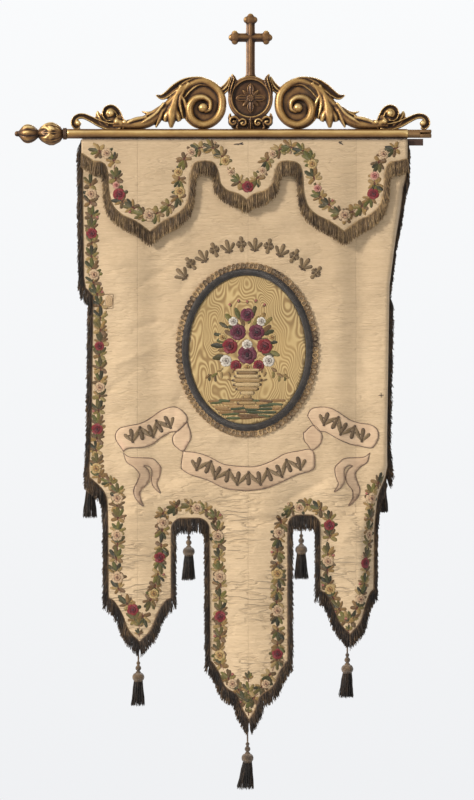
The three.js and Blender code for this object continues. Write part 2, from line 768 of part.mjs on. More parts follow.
function stroke(places, direction, sections = places.length + 1) {
  const line = new THREE.CatmullRomCurve3(places.map((row) => new THREE.Vector3(row.out, 0, row.z)));
  const rings = [];
  for (let i = 0; i < sections; i++) {
    const share = i / (sections - 1);
    const along = Math.min(share * (places.length - 1), places.length - 1.0001);
    const row = Math.floor(along);
    const [here, next] = [places[row], places[row + 1]];
    const half = THREE.MathUtils.lerp(here.half, next.half, along - row);
    const depth = THREE.MathUtils.lerp(here.depth, next.depth, along - row);
    const at = line.getPoint(share);
    const walk = line.getTangent(share);
    rings.push(CARVED_SECTION.map((corner) => new THREE.Vector3(
      direction * (at.x - walk.z * half * corner.side),
      -depth * corner.front,
      at.z + walk.x * half * corner.side,
    )));
  }
  return loft(rings);
}

// The big volute winds in from its top towards the medallion: turn in degrees from the top.
const VOLUTE = { out: 142, z: -28.6, eye: 13, eyeDepth: 31, web: 63, webDepth: 11 };
const VOLUTE_ROWS = [
  { turn: -44, radius: 86, half: 10, depth: 17 },
  { turn: 0, radius: 81, half: 12, depth: 20 },
  { turn: 45, radius: 69, half: 13, depth: 22 },
  { turn: 90, radius: 56, half: 13.5, depth: 23 },
  { turn: 135, radius: 51, half: 12.5, depth: 23 },
  { turn: 180, radius: 50, half: 12.5, depth: 24 },
  { turn: 225, radius: 46, half: 13, depth: 25 },
  { turn: 270, radius: 41, half: 13.5, depth: 26 },
  { turn: 315, radius: 36, half: 12, depth: 27 },
  { turn: 360, radius: 31, half: 10, depth: 28 },
  { turn: 405, radius: 27, half: 8.5, depth: 27 },
  { turn: 460, radius: 20, half: 7, depth: 24 },
  { turn: 520, radius: 13, half: 6, depth: 22 },
];

const LEAF_STROKES = [
  [
    { out: 170, z: 57, half: 9, depth: 15 },
    { out: 200, z: 50, half: 11, depth: 19 },
    { out: 228, z: 32, half: 11, depth: 19 },
    { out: 248, z: 13, half: 9, depth: 17 },
    { out: 267, z: 4, half: 6, depth: 14 },
    { out: 285, z: 10, half: 1.6, depth: 9 },
  ],
  [
    { out: 186, z: 40, half: 12, depth: 17 },
    { out: 212, z: 24, half: 13, depth: 21 },
    { out: 231, z: 3, half: 13, depth: 21 },
    { out: 251, z: -15, half: 12, depth: 20 },
    { out: 277, z: -31, half: 9, depth: 17 },
    { out: 301, z: -43, half: 6, depth: 13 },
    { out: 325, z: -39, half: 1.6, depth: 8 },
  ],
  [
    { out: 240, z: -2, half: 8, depth: 16 },
    { out: 263, z: -36, half: 13, depth: 21 },
    { out: 287, z: -60, half: 16, depth: 23 },
    { out: 318, z: -75, half: 17, depth: 24 },
    { out: 356, z: -79, half: 15, depth: 24 },
    { out: 390, z: -77, half: 13, depth: 25 },
    { out: 412, z: -81, half: 7, depth: 18 },
  ],
  [
    { out: 217, z: 33, half: 7, depth: 18 },
    { out: 224, z: 3, half: 9, depth: 21 },
    { out: 231, z: -24, half: 15, depth: 25 },
    { out: 235, z: -47, half: 24, depth: 29 },
    { out: 235, z: -67, half: 13, depth: 22 },
    { out: 236, z: -82, half: 2, depth: 9 },
  ],
  [
    { out: 390, z: -82, half: 10, depth: 22 },
    { out: 418, z: -85, half: 10, depth: 22 },
    { out: 449, z: -75, half: 9, depth: 20 },
    { out: 475, z: -62, half: 7.5, depth: 18 },
    { out: 498, z: -52, half: 6.5, depth: 17 },
    { out: 517, z: -53, half: 6, depth: 17 },
    { out: 530, z: -65, half: 6, depth: 18 },
    { out: 530, z: -79, half: 6.5, depth: 20 },
    { out: 519, z: -86, half: 6.5, depth: 21 },
    { out: 511, z: -78, half: 5, depth: 21 },
  ],
  [
    { out: 388, z: -68, half: 8, depth: 20 },
    { out: 395, z: -48, half: 7, depth: 19 },
    { out: 405, z: -32, half: 6.5, depth: 18 },
    { out: 419, z: -25, half: 6.5, depth: 19 },
    { out: 434, z: -32, half: 6.5, depth: 20 },
    { out: 438, z: -48, half: 6.5, depth: 21 },
    { out: 429, z: -61, half: 6.5, depth: 22 },
    { out: 415, z: -60, half: 7, depth: 24 },
    { out: 412, z: -48, half: 6, depth: 24 },
  ],
  [
    { out: 436, z: -78, half: 7, depth: 16 },
    { out: 450, z: -63, half: 9, depth: 16 },
    { out: 456, z: -48, half: 6, depth: 13 },
    { out: 457, z: -38, half: 1.6, depth: 8 },
  ],
  [
    { out: 96, z: 22, half: 8, depth: 17 },
    { out: 75, z: 27, half: 9, depth: 18 },
    { out: 62, z: 42, half: 8, depth: 17 },
    { out: 58, z: 64, half: 1.8, depth: 9 },
  ],
];

// A flat round boss of the carving, its back on the crest's back plane.
function boss(x, z, radius, depth, dome, segments) {
  const profile = [
    new THREE.Vector2(0, depth),
    new THREE.Vector2(radius * 0.6, depth - dome * 0.3),
    new THREE.Vector2(radius, depth - dome),
    new THREE.Vector2(radius, 0),
    new THREE.Vector2(0, 0),
  ].reverse();
  return new THREE.LatheGeometry(profile, segments).rotateX(Math.PI).translate(x, 0, z);
}

// Room for the rod under the crest and for the medallion between its wings.
function rodRoom() {
  const room = new THREE.CylinderGeometry(ROD.radius + CLEARANCE, ROD.radius + CLEARANCE, 1300, 32);
  return solidOf(room.rotateZ(Math.PI / 2).translate(0, ROD.y, ROD.z));
}

function medallionRoom() {
  const radius = MEDALLION.radius + CLEARANCE;
  return solidOf(new THREE.CylinderGeometry(radius, radius, 100, 40));
}

function wing(direction) {
  const spiral = VOLUTE_ROWS.map((row) => {
    const angle = THREE.MathUtils.degToRad(row.turn);
    return {
      out: VOLUTE.out - row.radius * Math.sin(angle),
      z: VOLUTE.z + row.radius * Math.cos(angle),
      half: row.half,
      depth: row.depth,
    };
  });
  const pieces = [
    stroke(spiral, direction, 22),
    boss(direction * VOLUTE.out, VOLUTE.z, VOLUTE.eye, VOLUTE.eyeDepth, 9, 8),
    boss(direction * VOLUTE.out, VOLUTE.z, VOLUTE.web, VOLUTE.webDepth, 1, 16),
    ...LEAF_STROKES.map((places) => stroke(places, direction)),
  ];
  return joined(pieces).subtract(rodRoom()).subtract(medallionRoom());
}
addPiece("crest_wing_left", geometryOf(wing(-1)), "gilt");
addPiece("crest_wing_right", geometryOf(wing(1)), "gilt");

// Medallion: a disc in a raised ring on a leafy foot that sits on the rod.
const FOOT_LEAVES = [
  { out: -46, lean: -14, top: -50 },
  { out: -22, lean: -4, top: -58 },
  { out: 0, lean: 0, top: -60 },
  { out: 22, lean: 4, top: -58 },
  { out: 46, lean: 14, top: -50 },
];

function medallion() {
  const { radius, ring, ringDepth, faceDepth } = MEDALLION;
  const profile = [
    new THREE.Vector2(0, faceDepth),
    new THREE.Vector2(radius - ring, faceDepth),
    new THREE.Vector2(radius - ring * 0.7, ringDepth),
    new THREE.Vector2(radius - 1, ringDepth - 3),
    new THREE.Vector2(radius, 0),
    new THREE.Vector2(0, 0),
  ].reverse();
  const disc = new THREE.LatheGeometry(profile, 32).rotateX(Math.PI);
  const foot = box(new THREE.Vector3(-58, -16, -99), new THREE.Vector3(58, 0, -50));
  const leaves = FOOT_LEAVES.map((leaf) => stroke([
    { out: leaf.out, z: -99, half: 9, depth: 20 },
    { out: leaf.out + leaf.lean * 0.4, z: -80, half: 11, depth: 24 },
    { out: leaf.out + leaf.lean, z: leaf.top - 6, half: 8, depth: 25 },
    { out: leaf.out + leaf.lean * 1.2, z: leaf.top, half: 4, depth: 24 },
  ], 1, 4));
  return joined([disc, foot, ...leaves]).subtract(rodRoom());
}
addPiece("crest_medallion", geometryOf(medallion()), "gilt");

// A plain four-petalled rosette in relief on the medallion's face.
function rosette() {
  const pieces = [boss(0, 0, 13, 9, 4, 12)];
  for (let k = 0; k < 8; k++) {
    const angle = (Math.PI * k) / 4;
    const reach = k % 2 ? 34 : 44;
    const petal = stroke([
      { out: 6, z: 0, half: 4, depth: 5 },
      { out: reach * 0.55, z: 0, half: k % 2 ? 5 : 11, depth: 7 },
      { out: reach * 0.85, z: 0, half: k % 2 ? 4 : 9, depth: 6 },
      { out: reach, z: 0, half: 1.5, depth: 4 },
    ], 1, 4);
    pieces.push(petal.rotateY(angle));
  }
  return geometryOf(joined(pieces)).translate(0, -MEDALLION.faceDepth - CLEARANCE, 0);
}
addPiece("crest_rosette", rosette(), "gilt");

// Cross with budded ends, standing on the medallion's rim.
function cross() {
  const { half, depth, base, armZ, armReach, top } = CROSS;
  const flare = [
    { out: 0, z: base, half: half + 9, depth },
    { out: 0, z: base + 12, half, depth },
    { out: 0, z: armZ, half, depth },
    { out: 0, z: top - 20, half: half - 1, depth },
  ];
  const arms = [
    { out: -armReach + 14, z: armZ, half: half - 1, depth },
    { out: armReach - 14, z: armZ, half: half - 1, depth },
  ];
  const pieces = [stroke(flare, 1, 7), stroke(arms, 1, 3)];
  const ends = [
    { x: 0, z: top - 14, headX: 0, headZ: 1 },
    { x: -armReach + 14, z: armZ, headX: -1, headZ: 0 },
    { x: armReach - 14, z: armZ, headX: 1, headZ: 0 },
  ];
  for (const end of ends) {
    const buds = [
      { ahead: BUD.ahead, aside: 0 },
      { ahead: -BUD.back, aside: BUD.aside },
      { ahead: -BUD.back, aside: -BUD.aside },
    ];
    for (const bud of buds) {
      const x = end.x + end.headX * bud.ahead + end.headZ * bud.aside;
      const z = end.z + end.headZ * bud.ahead + end.headX * bud.aside;
      pieces.push(boss(x, z, BUD.radius, depth, 5, 8));
    }
  }
  return geometryOf(joined(pieces).subtract(medallionRoom())).translate(0, CROSS.back, 0);
}
addPiece("crest_cross", cross(), "gilt");

export default banner;
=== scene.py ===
import random
from math import asin, atan2, cos, degrees, hypot, pi, radians, sin, sqrt

import bpy
import numpy as np
from mathutils import Matrix, Vector, geometry


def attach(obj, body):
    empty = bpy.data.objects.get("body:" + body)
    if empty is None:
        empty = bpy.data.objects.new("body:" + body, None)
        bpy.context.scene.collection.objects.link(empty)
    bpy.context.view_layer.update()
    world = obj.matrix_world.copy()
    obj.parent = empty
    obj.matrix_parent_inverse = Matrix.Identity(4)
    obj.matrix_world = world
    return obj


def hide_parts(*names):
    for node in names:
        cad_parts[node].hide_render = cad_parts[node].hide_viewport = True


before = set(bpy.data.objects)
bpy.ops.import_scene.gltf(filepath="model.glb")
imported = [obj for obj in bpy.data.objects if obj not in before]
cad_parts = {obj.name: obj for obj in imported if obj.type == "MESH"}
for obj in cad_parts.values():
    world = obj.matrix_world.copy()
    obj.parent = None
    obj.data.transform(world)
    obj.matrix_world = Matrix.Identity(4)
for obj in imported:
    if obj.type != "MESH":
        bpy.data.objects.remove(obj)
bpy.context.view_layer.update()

scene = bpy.context.scene


# Studio. The banner hangs well clear of a plain pale room, with soft light from the upper left, a weaker
# light from the upper right, and the camera straight in front, as far off as a long lens needs.
SIGHT_MIDDLE = Vector((-0.0405, 0, -0.903))
SIGHT_HEIGHT = 2.4
SIGHT_DISTANCE = 7.0
SENSOR = 36
FLOOR_HEIGHT = -2.62
FLOOR_RADIUS = 2.4


def new_object(name, data):
    made = bpy.data.objects.new(name, data)
    scene.collection.objects.link(made)
    return made


camera_data = bpy.data.cameras.new("studio_camera")
camera_data.sensor_width = SENSOR
camera_data.lens = SENSOR * SIGHT_DISTANCE / SIGHT_HEIGHT
camera = new_object("studio_camera", camera_data)
camera.location = SIGHT_MIDDLE + Vector((0, -SIGHT_DISTANCE, 0))
camera.rotation_euler = (pi / 2, 0, 0)
scene.camera = camera
scene.view_settings.view_transform = "Standard"


def soft_lamp(name, place, aim, size, watts, tint):
    data = bpy.data.lights.new(name, "AREA")
    data.shape, data.size, data.energy, data.color = "DISK", size, watts, tint
    lamp = new_object(name, data)
    lamp.location = place
    lamp.rotation_euler = (Vector(aim) - Vector(place)).to_track_quat("-Z", "Y").to_euler()


soft_lamp("key_light", (-6.4, -3.6, 2.2), (0, 0, -1.1), 1.2, 830, (1.0, 0.96, 0.91))
soft_lamp("fill_light", (3.0, -4.4, 0.2), (0, 0, -1.1), 1.6, 46, (1.0, 0.98, 0.96))
soft_lamp("back_light", (0.6, 3.2, 1.2), (0, 0, -0.8), 2.0, 60, (0.98, 0.99, 1.0))


def new_finish(name, roughness, metallic=0.0, sheen=0.0, specular=0.5):
    finish = bpy.data.materials.new(name)
    finish.use_nodes = True
    shader = finish.node_tree.nodes["Principled BSDF"]
    for key, value in zip(("Roughness", "Metallic", "Sheen Weight", "Specular IOR Level"),
                          (roughness, metallic, sheen, specular)):
        shader.inputs[key].default_value = value
    return finish, shader


def wire(owner, kind, inputs, output=0, **settings):
    """Adds one node to a finish or another tree; its inputs are numbers, colours or other nodes' outputs."""
    tree = getattr(owner, "node_tree", owner)
    made = tree.nodes.new(kind)
    for name, value in settings.items():
        setattr(made, name, value)
    for name, value in inputs.items():
        if isinstance(value, bpy.types.NodeSocket):
            tree.links.new(value, made.inputs[name])
        else:
            made.inputs[name].default_value = value
    return made.outputs[output]


def linked(kind, inputs, output=0, **settings):
    """Adds a node beside the one that its first wired input comes from."""
    beside = next(value for value in inputs.values() if isinstance(value, bpy.types.NodeSocket))
    return wire(beside.id_data, kind, inputs, output, **settings)


def sums(operation, first, second=0.0, third=0.0):
    return linked("ShaderNodeMath", {0: first, 1: second, 2: third}, operation=operation)


def waves(value, count):
    return sums("SINE", sums("MULTIPLY", value, count))


def ranged(value, from_low, from_high, to_low=0.0, to_high=1.0):
    inputs = {"Value": value, "From Min": from_low, "From Max": from_high, "To Min": to_low, "To Max": to_high}
    return linked("ShaderNodeMapRange", inputs)


def part_of(vector, axis):
    return linked("ShaderNodeSeparateXYZ", {"Vector": vector}, axis)


def blended(share, first, second, kind="MIX"):
    return linked("ShaderNodeMixRGB", {"Fac": share, "Color1": first, "Color2": second}, blend_type=kind)


def shades(value, stops):
    """A colour ramp through the given (place, colour) stops."""
    colour = linked("ShaderNodeValToRGB", {"Fac": value})
    steps = colour.node.color_ramp.elements
    while len(steps) < len(stops):
        steps.new(0.5)
    for step, (place, tint) in zip(steps, stops):
        step.position = place
        step.color = (*tint, 1)
    return colour


def spots(place, scale, detail=3.0, stretch=(1, 1, 1), roughness=0.55):
    """Noise of a given fineness along each direction of a place."""
    scaled = linked("ShaderNodeMapping", {"Vector": place, "Scale": stretch})
    return linked("ShaderNodeTexNoise", {"Vector": scaled, "Scale": scale, "Detail": detail, "Roughness": roughness})


def raised(shader, height, distance, strength=1.0):
    bump = linked("ShaderNodeBump", {"Height": height, "Distance": distance, "Strength": strength})
    shader.id_data.links.new(bump, shader.inputs["Normal"])


def paint(shader, colour, socket="Base Color"):
    shader.id_data.links.new(colour, shader.inputs[socket])


room = bpy.data.worlds.new("pale_room")
room.use_nodes = True
scene.world = room
upward = part_of(wire(room, "ShaderNodeTexCoord", {}), 2)
air_shade = shades(sums("MULTIPLY_ADD", upward, 0.5, 0.5), [(0.36, (0.84, 0.85, 0.87)), (0.6, (0.96, 0.97, 0.98))])
lit_air = wire(room, "ShaderNodeBackground", {"Color": (0.9, 0.91, 0.93, 1), "Strength": 0.56})
seen_air = linked("ShaderNodeBackground", {"Color": air_shade, "Strength": 1.0})
to_camera = wire(room, "ShaderNodeLightPath", {})
both_airs = linked("ShaderNodeMixShader", {0: to_camera, 1: lit_air, 2: seen_air})
room.node_tree.links.new(both_airs, room.node_tree.nodes["World Output"].inputs["Surface"])

floor_mesh = bpy.data.meshes.new("studio_floor")
floor_ring = [(FLOOR_RADIUS * cos(turn), FLOOR_RADIUS * sin(turn), FLOOR_HEIGHT)
              for turn in np.linspace(0, 2 * pi, 97)[:-1]]
floor_mesh.from_pydata(floor_ring, [], [list(range(len(floor_ring)))])
studio_floor = new_object("studio_floor", floor_mesh)
floor_finish, floor_shader = new_finish("pale_floor", 0.8)
floor_cloud = spots(wire(floor_finish, "ShaderNodeTexCoord", {}, output=3), 1.5)
paint(floor_shader, shades(floor_cloud, [(0, (0.8, 0.81, 0.82)), (1, (0.84, 0.85, 0.86))]))
floor_mesh.materials.append(floor_finish)


# Banner cloth. One sheet of ribbed ivory silk, cut with three pendants and nailed along its top to the batten.
# It hangs in a few soft folds, is puckered round the needlework, and its right edge curls back.
CLOTH = {"middle": -18, "half": 487.5, "top": -125, "plane": -16.5, "thick": 1.6}
SIDE_ROWS = [(-348, 1.5), (-537, 4), (-567, 9), (-591, 32), (-843, 28.5), (-978, 27), (-1107, 19.5), (-1134, 21)]
SHOULDER_ROWS = [(-1167, 57), (-1197, 72), (-1250, 76)]
PENDANTS = {
    "left": {"middle": -332, "half": 96, "straight": -1496},
    "centre": {"middle": -5, "half": 118, "straight": -1683},
    "right": {"middle": 297, "half": 91, "straight": -1474},
}
SIDE_TIP = [(96, 0), (77, 11), (55, 46), (34, 95), (0, 133)]
CENTRE_TIP = [(118, 0), (107, 12), (91, 38), (72, 79), (37, 103), (22, 141), (0, 182)]
NOTCHES = {
    "left": {"left": -236, "right": -126, "top": -1258, "corner": 32},
    "right": {"left": 113, "right": 206, "top": -1249, "corner": 30},
}
# Each fold or crease: from x, from z, to x, to z, half width and depth, minus forward, in millimetres.
FOLDS = [
    (-365, -330, -350, -1180, 85, -10), (-288, -420, -285, -1120, 40, 6), (272, -430, 262, -1150, 45, -7),
    (325, -260, 322, -1200, 48, 9), (-430, -1215, -250, -1120, 42, 7), (-300, -1205, -190, -1170, 30, -6),
    (120, -1225, 225, -1130, 42, 7), (365, -1235, 275, -1350, 46, -9), (-345, -1290, -325, -1580, 60, -9),
    (-95, -1300, -90, -1660, 42, 7), (30, -1290, 10, -1800, 70, -9), (235, -1300, 250, -1560, 42, 6),
]
CREASES = [
    (-428, -1196, -300, -1180, 9, 2.6), (-440, -1172, -330, -1192, 8, -2.2), (-372, -1212, -290, -1196, 8, -2.4),
    (-352, -1228, -262, -1212, 8, 2.4), (-372, -1252, -286, -1246, 9, -2.2), (-368, -1272, -290, -1262, 8, 2.2),
    (-362, -1310, -288, -1304, 10, 2.0), (-366, -1352, -292, -1362, 10, -2.0), (-360, -1404, -296, -1396, 10, 2.0),
    (-364, -1448, -300, -1454, 11, -1.8), (-358, -1500, -306, -1492, 10, 1.8), (-118, -1216, -40, -1190, 9, 2.6),
    (-112, -1240, -20, -1222, 8, -2.2), (-108, -1268, -30, -1262, 9, 2.4), (-104, -1292, -22, -1296, 8, -2.2),
    (-104, -1330, -34, -1320, 9, 2.2), (-96, -1392, -20, -1386, 11, -1.8), (-60, -1452, 40, -1446, 12, 1.8),
    (-70, -1520, 30, -1528, 12, -1.7), (-50, -1600, 50, -1592, 12, 1.7), (-48, -1668, 44, -1676, 12, -1.7),
    (140, -1168, 214, -1196, 10, 2.4), (214, -1170, 300, -1196, 9, -2.2), (236, -1212, 320, -1198, 9, 2.2),
    (246, -1262, 330, -1250, 9, -2.2), (250, -1316, 334, -1322, 10, 2.0), (252, -1380, 330, -1370, 11, -1.8),
    (256, -1440, 328, -1448, 11, 1.8), (-300, -420, -120, -380, 22, -2.4), (-150, -420, 60, -440, 24, 2.0),
    (160, -420, 330, -400, 20, -2.2), (-410, -640, -250, -600, 24, 2.0), (-420, -900, -230, -880, 24, -2.0),
    (-150, -1044, 100, -1036, 14, 2.0), (-170, -1196, 120, -1204, 16, -2.0), (216, -880, 380, -860, 22, 2.0),
    (220, -620, 380, -600, 22, -2.0), (-342, -690, -280, -668, 8, 3.6), (-414, -868, -348, -816, 8, 2.8),
    (-404, -800, -296, -752, 9, -3.6), (-330, -560, -236, -500, 10, 2.6), (-300, -470, -196, -424, 10, -2.4),
    (196, -560, 300, -604, 11, -2.4), (232, -700, 330, -668, 10, 2.6), (-250, -1010, -206, -880, 9, 2.2),
    (-412, -512, -360, -508, 8, 2.2), (-10, -1270, 108, -1254, 10, 6.4), (20, -1238, 108, -1244, 9, -4.6),
    (120, -1196, 216, -1150, 10, 4.8), (-268, -1219, -196, -1196, 9, -4.2), (-120, -1210, -30, -1216, 8, 2.6),
    (-330, -1130, -230, -1150, 12, 2.4), (60, -1000, 170, -1030, 12, -2.2), (-200, -560, -150, -470, 16, 2.2),
]
# The right edge curls back: height, where the curl starts, how many degrees it turns, and its radius.
CURL_ROWS = [
    (-120, 478, 0, 20), (-180, 470, 5, 20), (-265, 438, 62, 16), (-420, 420, 88, 14), (-560, 403, 98, 13),
    (-1000, 396, 100, 13), (-1100, 393, 84, 16), (-1190, 356, 66, 22), (-1300, 322, 52, 34), (-1500, 314, 46, 40),
    (-1900, 314, 40, 40),
]


def trough_depth(x, z, rows):
    depth = np.zeros_like(x)
    for from_x, from_z, to_x, to_z, width, deep in rows:
        along_x, along_z = to_x - from_x, to_z - from_z
        length = hypot(along_x, along_z)
        along = ((x - from_x) * along_x + (z - from_z) * along_z) / length
        aside = ((x - from_x) * along_z - (z - from_z) * along_x) / length
        past = np.maximum(np.maximum(-along, along - length), 0)
        depth += deep * np.exp(-((aside / width) ** 2) - (past / (1.6 * width)) ** 2)
    return depth


def curl_at(z):
    heights, start, turn, radius = np.array(CURL_ROWS, float)[::-1].T
    return [np.interp(z, heights, column) for column in (start, np.radians(turn), radius)]


def hung_point(x, z, curled):
    """Where a flat place of the cloth, in millimetres, comes to hang."""
    depth = CLOTH["plane"] + trough_depth(x, z, FOLDS)
    if curled:
        depth = depth + trough_depth(x, z, CREASES)
    start, turn, radius = curl_at(z)
    bend = np.clip((x - start) / radius, 0, turn) if curled else np.zeros_like(x)
    rest = np.maximum(x - start - radius * turn, 0) if curled else np.zeros_like(x)
    curling = bend > 0
    across = np.where(curling, start + radius * np.sin(bend) + rest * np.cos(turn), x)
    depth = depth + np.where(curling, radius * (1 - np.cos(bend)) + rest * np.sin(turn), 0)
    return np.stack([across, depth, z], axis=-1)


def hung(x, z, ahead=0.0, curled=True):
    """The same place in metres, at a distance in millimetres in front of the cloth's middle."""
    x, z = np.asarray(x, float), np.asarray(z, float)
    across = hung_point(x + 2, z, curled) - hung_point(x - 2, z, curled)
    up = hung_point(x, z + 2, curled) - hung_point(x, z - 2, curled)
    back = np.cross(up, across)
    back /= np.linalg.norm(back, axis=-1, keepdims=True)
    return (hung_point(x, z, curled) - back * np.asarray(ahead, float)[..., None]) / 1000


def fine_spline(places, fine=10):
    """Points on a smooth line through a few places, so many from each place to the next."""
    p = np.array(places, float)
    p = np.vstack([2 * p[0] - p[1], p, 2 * p[-1] - p[-2]])
    parts = []
    for a, b, c, d in zip(p, p[1:], p[2:], p[3:]):
        t = np.linspace(0, 1, fine, endpoint=False)[:, None]
        parts.append(0.5 * (2 * b + (c - a) * t + (2 * a - 5 * b + 4 * c - d) * t**2 + (3 * b - a - 3 * c + d) * t**3))
    return np.vstack([*parts, p[-2:-1]])


def smooth_line(places, step):
    return even_steps(fine_spline(places, 24), step)


def even_steps(line, step):
    line = np.asarray(line, float)
    run = np.concatenate([[0], np.cumsum(np.linalg.norm(np.diff(line, axis=0), axis=1))])
    stops = np.linspace(0, run[-1], max(2, int(round(run[-1] / step)) + 1))
    return np.stack([np.interp(stops, run, line[:, k]) for k in range(line.shape[1])], axis=1)


def closely(outline, step=5):
    """A closed outline with points at even steps along each of its straight parts."""
    return np.vstack([even_steps([a, b], step)[:-1] for a, b in zip(outline, np.roll(outline, -1, axis=0))])


def side_run(direction):
    across = [CLOTH["middle"] + direction * (CLOTH["half"] - inset) for _, inset in SIDE_ROWS]
    top = (CLOTH["middle"] + direction * CLOTH["half"], CLOTH["top"])
    return np.array([top, *zip(across, [z for z, _ in SIDE_ROWS])])


def shoulder_run(direction):
    rows = [(CLOTH["middle"] + direction * (CLOTH["half"] - inset), z) for z, inset in SHOULDER_ROWS]
    return smooth_line([side_run(direction)[-1], *rows], 4)


def tip_run(name, direction):
    pendant = PENDANTS[name]
    rows = CENTRE_TIP if name == "centre" else SIDE_TIP
    widen = pendant["half"] / rows[0][0]
    places = [(pendant["middle"] + direction * out * widen, pendant["straight"] - drop) for out, drop in rows]
    return smooth_line(places, 4)


def notch_run(name, direction):
    notch = NOTCHES[name]
    side = notch["left"] if direction < 0 else notch["right"]
    middle = (side - direction * notch["corner"], notch["top"] - notch["corner"])
    turn = np.pi / 2 - direction * np.linspace(0, np.pi / 2, 9)
    corner = np.stack([np.cos(turn), np.sin(turn)], axis=1) * notch["corner"] + middle
    return np.vstack([[((notch["left"] + notch["right"]) / 2, notch["top"])], corner])


def without_doubles(line):
    keep = [line[0]]
    for place in line[1:]:
        if np.linalg.norm(place - keep[-1]) > 0.5:
            keep.append(place)
    return np.array(keep)


EDGES = {
    "side_left": [side_run(-1)],
    "pendant_left": [shoulder_run(-1), tip_run("left", -1), tip_run("left", 1)[::-1], notch_run("left", -1)[::-1]],
    "pendant_centre": [
        notch_run("left", 1), tip_run("centre", -1), tip_run("centre", 1)[::-1], notch_run("right", -1)[::-1],
    ],
    "pendant_right": [notch_run("right", 1), tip_run("right", -1), tip_run("right", 1)[::-1], shoulder_run(1)[::-1]],
    "side_right": [side_run(1)[::-1]],
}
EDGES = {name: without_doubles(np.vstack(parts)) for name, parts in EDGES.items()}


def cut_sheet(outline, inner):
    """Triangles of a flat piece with this outline, through the given places inside it."""
    outline = [Vector(place) for place in outline]
    inner = [Vector(place) for place in inner]
    rim = [(i, (i + 1) % len(outline)) for i in range(len(outline))]
    places, _, faces, _, _, _ = geometry.delaunay_2d_cdt(outline + inner, rim, [], 1, 1e-4)
    return np.array([(p.x, p.y) for p in places]), faces


def smooth_object(name, points, faces, finish=None):
    mesh = bpy.data.meshes.new(name)
    mesh.from_pydata([tuple(point) for point in points], [], [tuple(face) for face in faces])
    if finish:
        mesh.materials.append(finish)
    mesh.shade_smooth()
    return new_object(name, mesh)


def column(items, key, width=3, kind=np.float32):
    """One property of all points, edges or corners of a mesh, as an array."""
    values = np.zeros(len(items) * width, kind)
    items.foreach_get(key, values)
    return values.reshape(-1, width)


def lay_map(piece, flat, name="flat"):
    """Keeps each point's place on the flat cloth, in metres, as the piece's own map."""
    layer = piece.data.uv_layers.new(name=name)
    corners = column(piece.data.loops, "vertex_index", 1, np.int32).ravel()
    layer.data.foreach_set("uv", np.asarray(flat, np.float32)[corners].ravel())


def make_sheet(name, outline, inner, ahead, thick, curled, finish):
    places, faces = cut_sheet(outline, inner)
    points = hung(places[:, 0], places[:, 1], ahead, curled)
    made = smooth_object(name, points, faces, finish)
    lay_map(made, places / 1000)
    wall = made.modifiers.new("thickness", "SOLIDIFY")
    wall.thickness = thick / 1000
    wall.offset = 0
    return made


def inside_of(outline, places, clear):
    """The places that lie inside an outline, at least so far from its edge."""
    outline = np.asarray(outline)
    following = np.roll(outline, -1, axis=0)
    inside = np.zeros(len(places), bool)
    near = np.full(len(places), np.inf)
    for a, b in zip(outline, following):
        crosses = (a[1] > places[:, 1]) != (b[1] > places[:, 1])
        slope = (b[0] - a[0]) / (b[1] - a[1] if b[1] != a[1] else 1e-9)
        inside ^= crosses & (places[:, 0] < a[0] + (places[:, 1] - a[1]) * slope)
        edge = b - a
        share = np.clip(((places - a) @ edge) / max(edge @ edge, 1e-9), 0, 1)
        near = np.minimum(near, np.linalg.norm(places - a - share[:, None] * edge, axis=1))
    return places[inside & (near > clear)]


CLOTH_GRID = 7.91


def cloth_places(bottom):
    places = []
    for row, z in enumerate(np.arange(CLOTH["top"] - CLOTH_GRID, bottom, -CLOTH_GRID * 0.87)):
        start, turn, radius = (float(value) for value in curl_at(z))
        across = list(np.arange(-512 + (row % 2) * CLOTH_GRID / 2, start - 2, CLOTH_GRID))
        across += list(start + np.arange(0, radius * turn + 6, 3.6))
        across += list(np.arange(across[-1] + CLOTH_GRID, 480, CLOTH_GRID))
        places += [(x, z) for x in across]
    return np.array(places)


silk, silk_shader = new_finish("ribbed_silk", 0.52, sheen=0.25, specular=0.35)
silk_map = wire(silk, "ShaderNodeUVMap", {}, uv_map="flat")
silk_across = part_of(silk_map, 0)
silk_up = part_of(silk_map, 1)
cloud = spots(silk_map, 3.2, detail=4)
streaks = spots(silk_map, 1.0, detail=5, stretch=(9, 210, 1), roughness=0.7)
slubs = spots(silk_map, 1.0, detail=3, stretch=(60, 700, 1))
stains = spots(silk_map, 6.5, detail=5, roughness=0.65)
ivory = shades(cloud, [(0.3, (0.5, 0.34, 0.185)), (0.52, (0.596, 0.418, 0.238)), (0.75, (0.672, 0.49, 0.295))])
ivory = blended(0.34, ivory, shades(streaks, [(0.32, (0.43, 0.3, 0.165)), (0.66, (0.8, 0.61, 0.39))]))
ivory = blended(0.18, ivory, shades(slubs, [(0.35, (0.36, 0.25, 0.14)), (0.62, (0.8, 0.63, 0.4))]))
tea = shades(stains, [(0.56, (0, 0, 0)), (0.7, (0.55, 0.55, 0.55))])
ivory = blended(tea, ivory, (0.46, 0.32, 0.18, 1))
SEAMS = {"left": -0.3375, "middle": -0.0065, "right": 0.3165}
seam_line = None
for seam in SEAMS.values():
    beside = sums("ABSOLUTE", sums("SUBTRACT", silk_across, seam))
    line = ranged(beside, 0.0005, 0.0017, 1, 0)
    seam_line = line if seam_line is None else sums("MAXIMUM", seam_line, line)
ivory = blended(sums("MULTIPLY", seam_line, 0.28), ivory, (0.33, 0.22, 0.12, 1))
# The silk is made darker towards the top.
darker_towards_top = ranged(silk_up, -0.85, -0.15, 0, 0.22)
ivory = blended(darker_towards_top, ivory, (0.3, 0.205, 0.115, 1))
# Painted shadow: a dark band along the very top edge of the silk, just under the rod, stands in for the rod's shadow.
painted_shadow_under_rod = ranged(silk_up, -0.132, -0.1245, 0, 0.7)
ivory = blended(painted_shadow_under_rod, ivory, (0.1, 0.065, 0.04, 1))
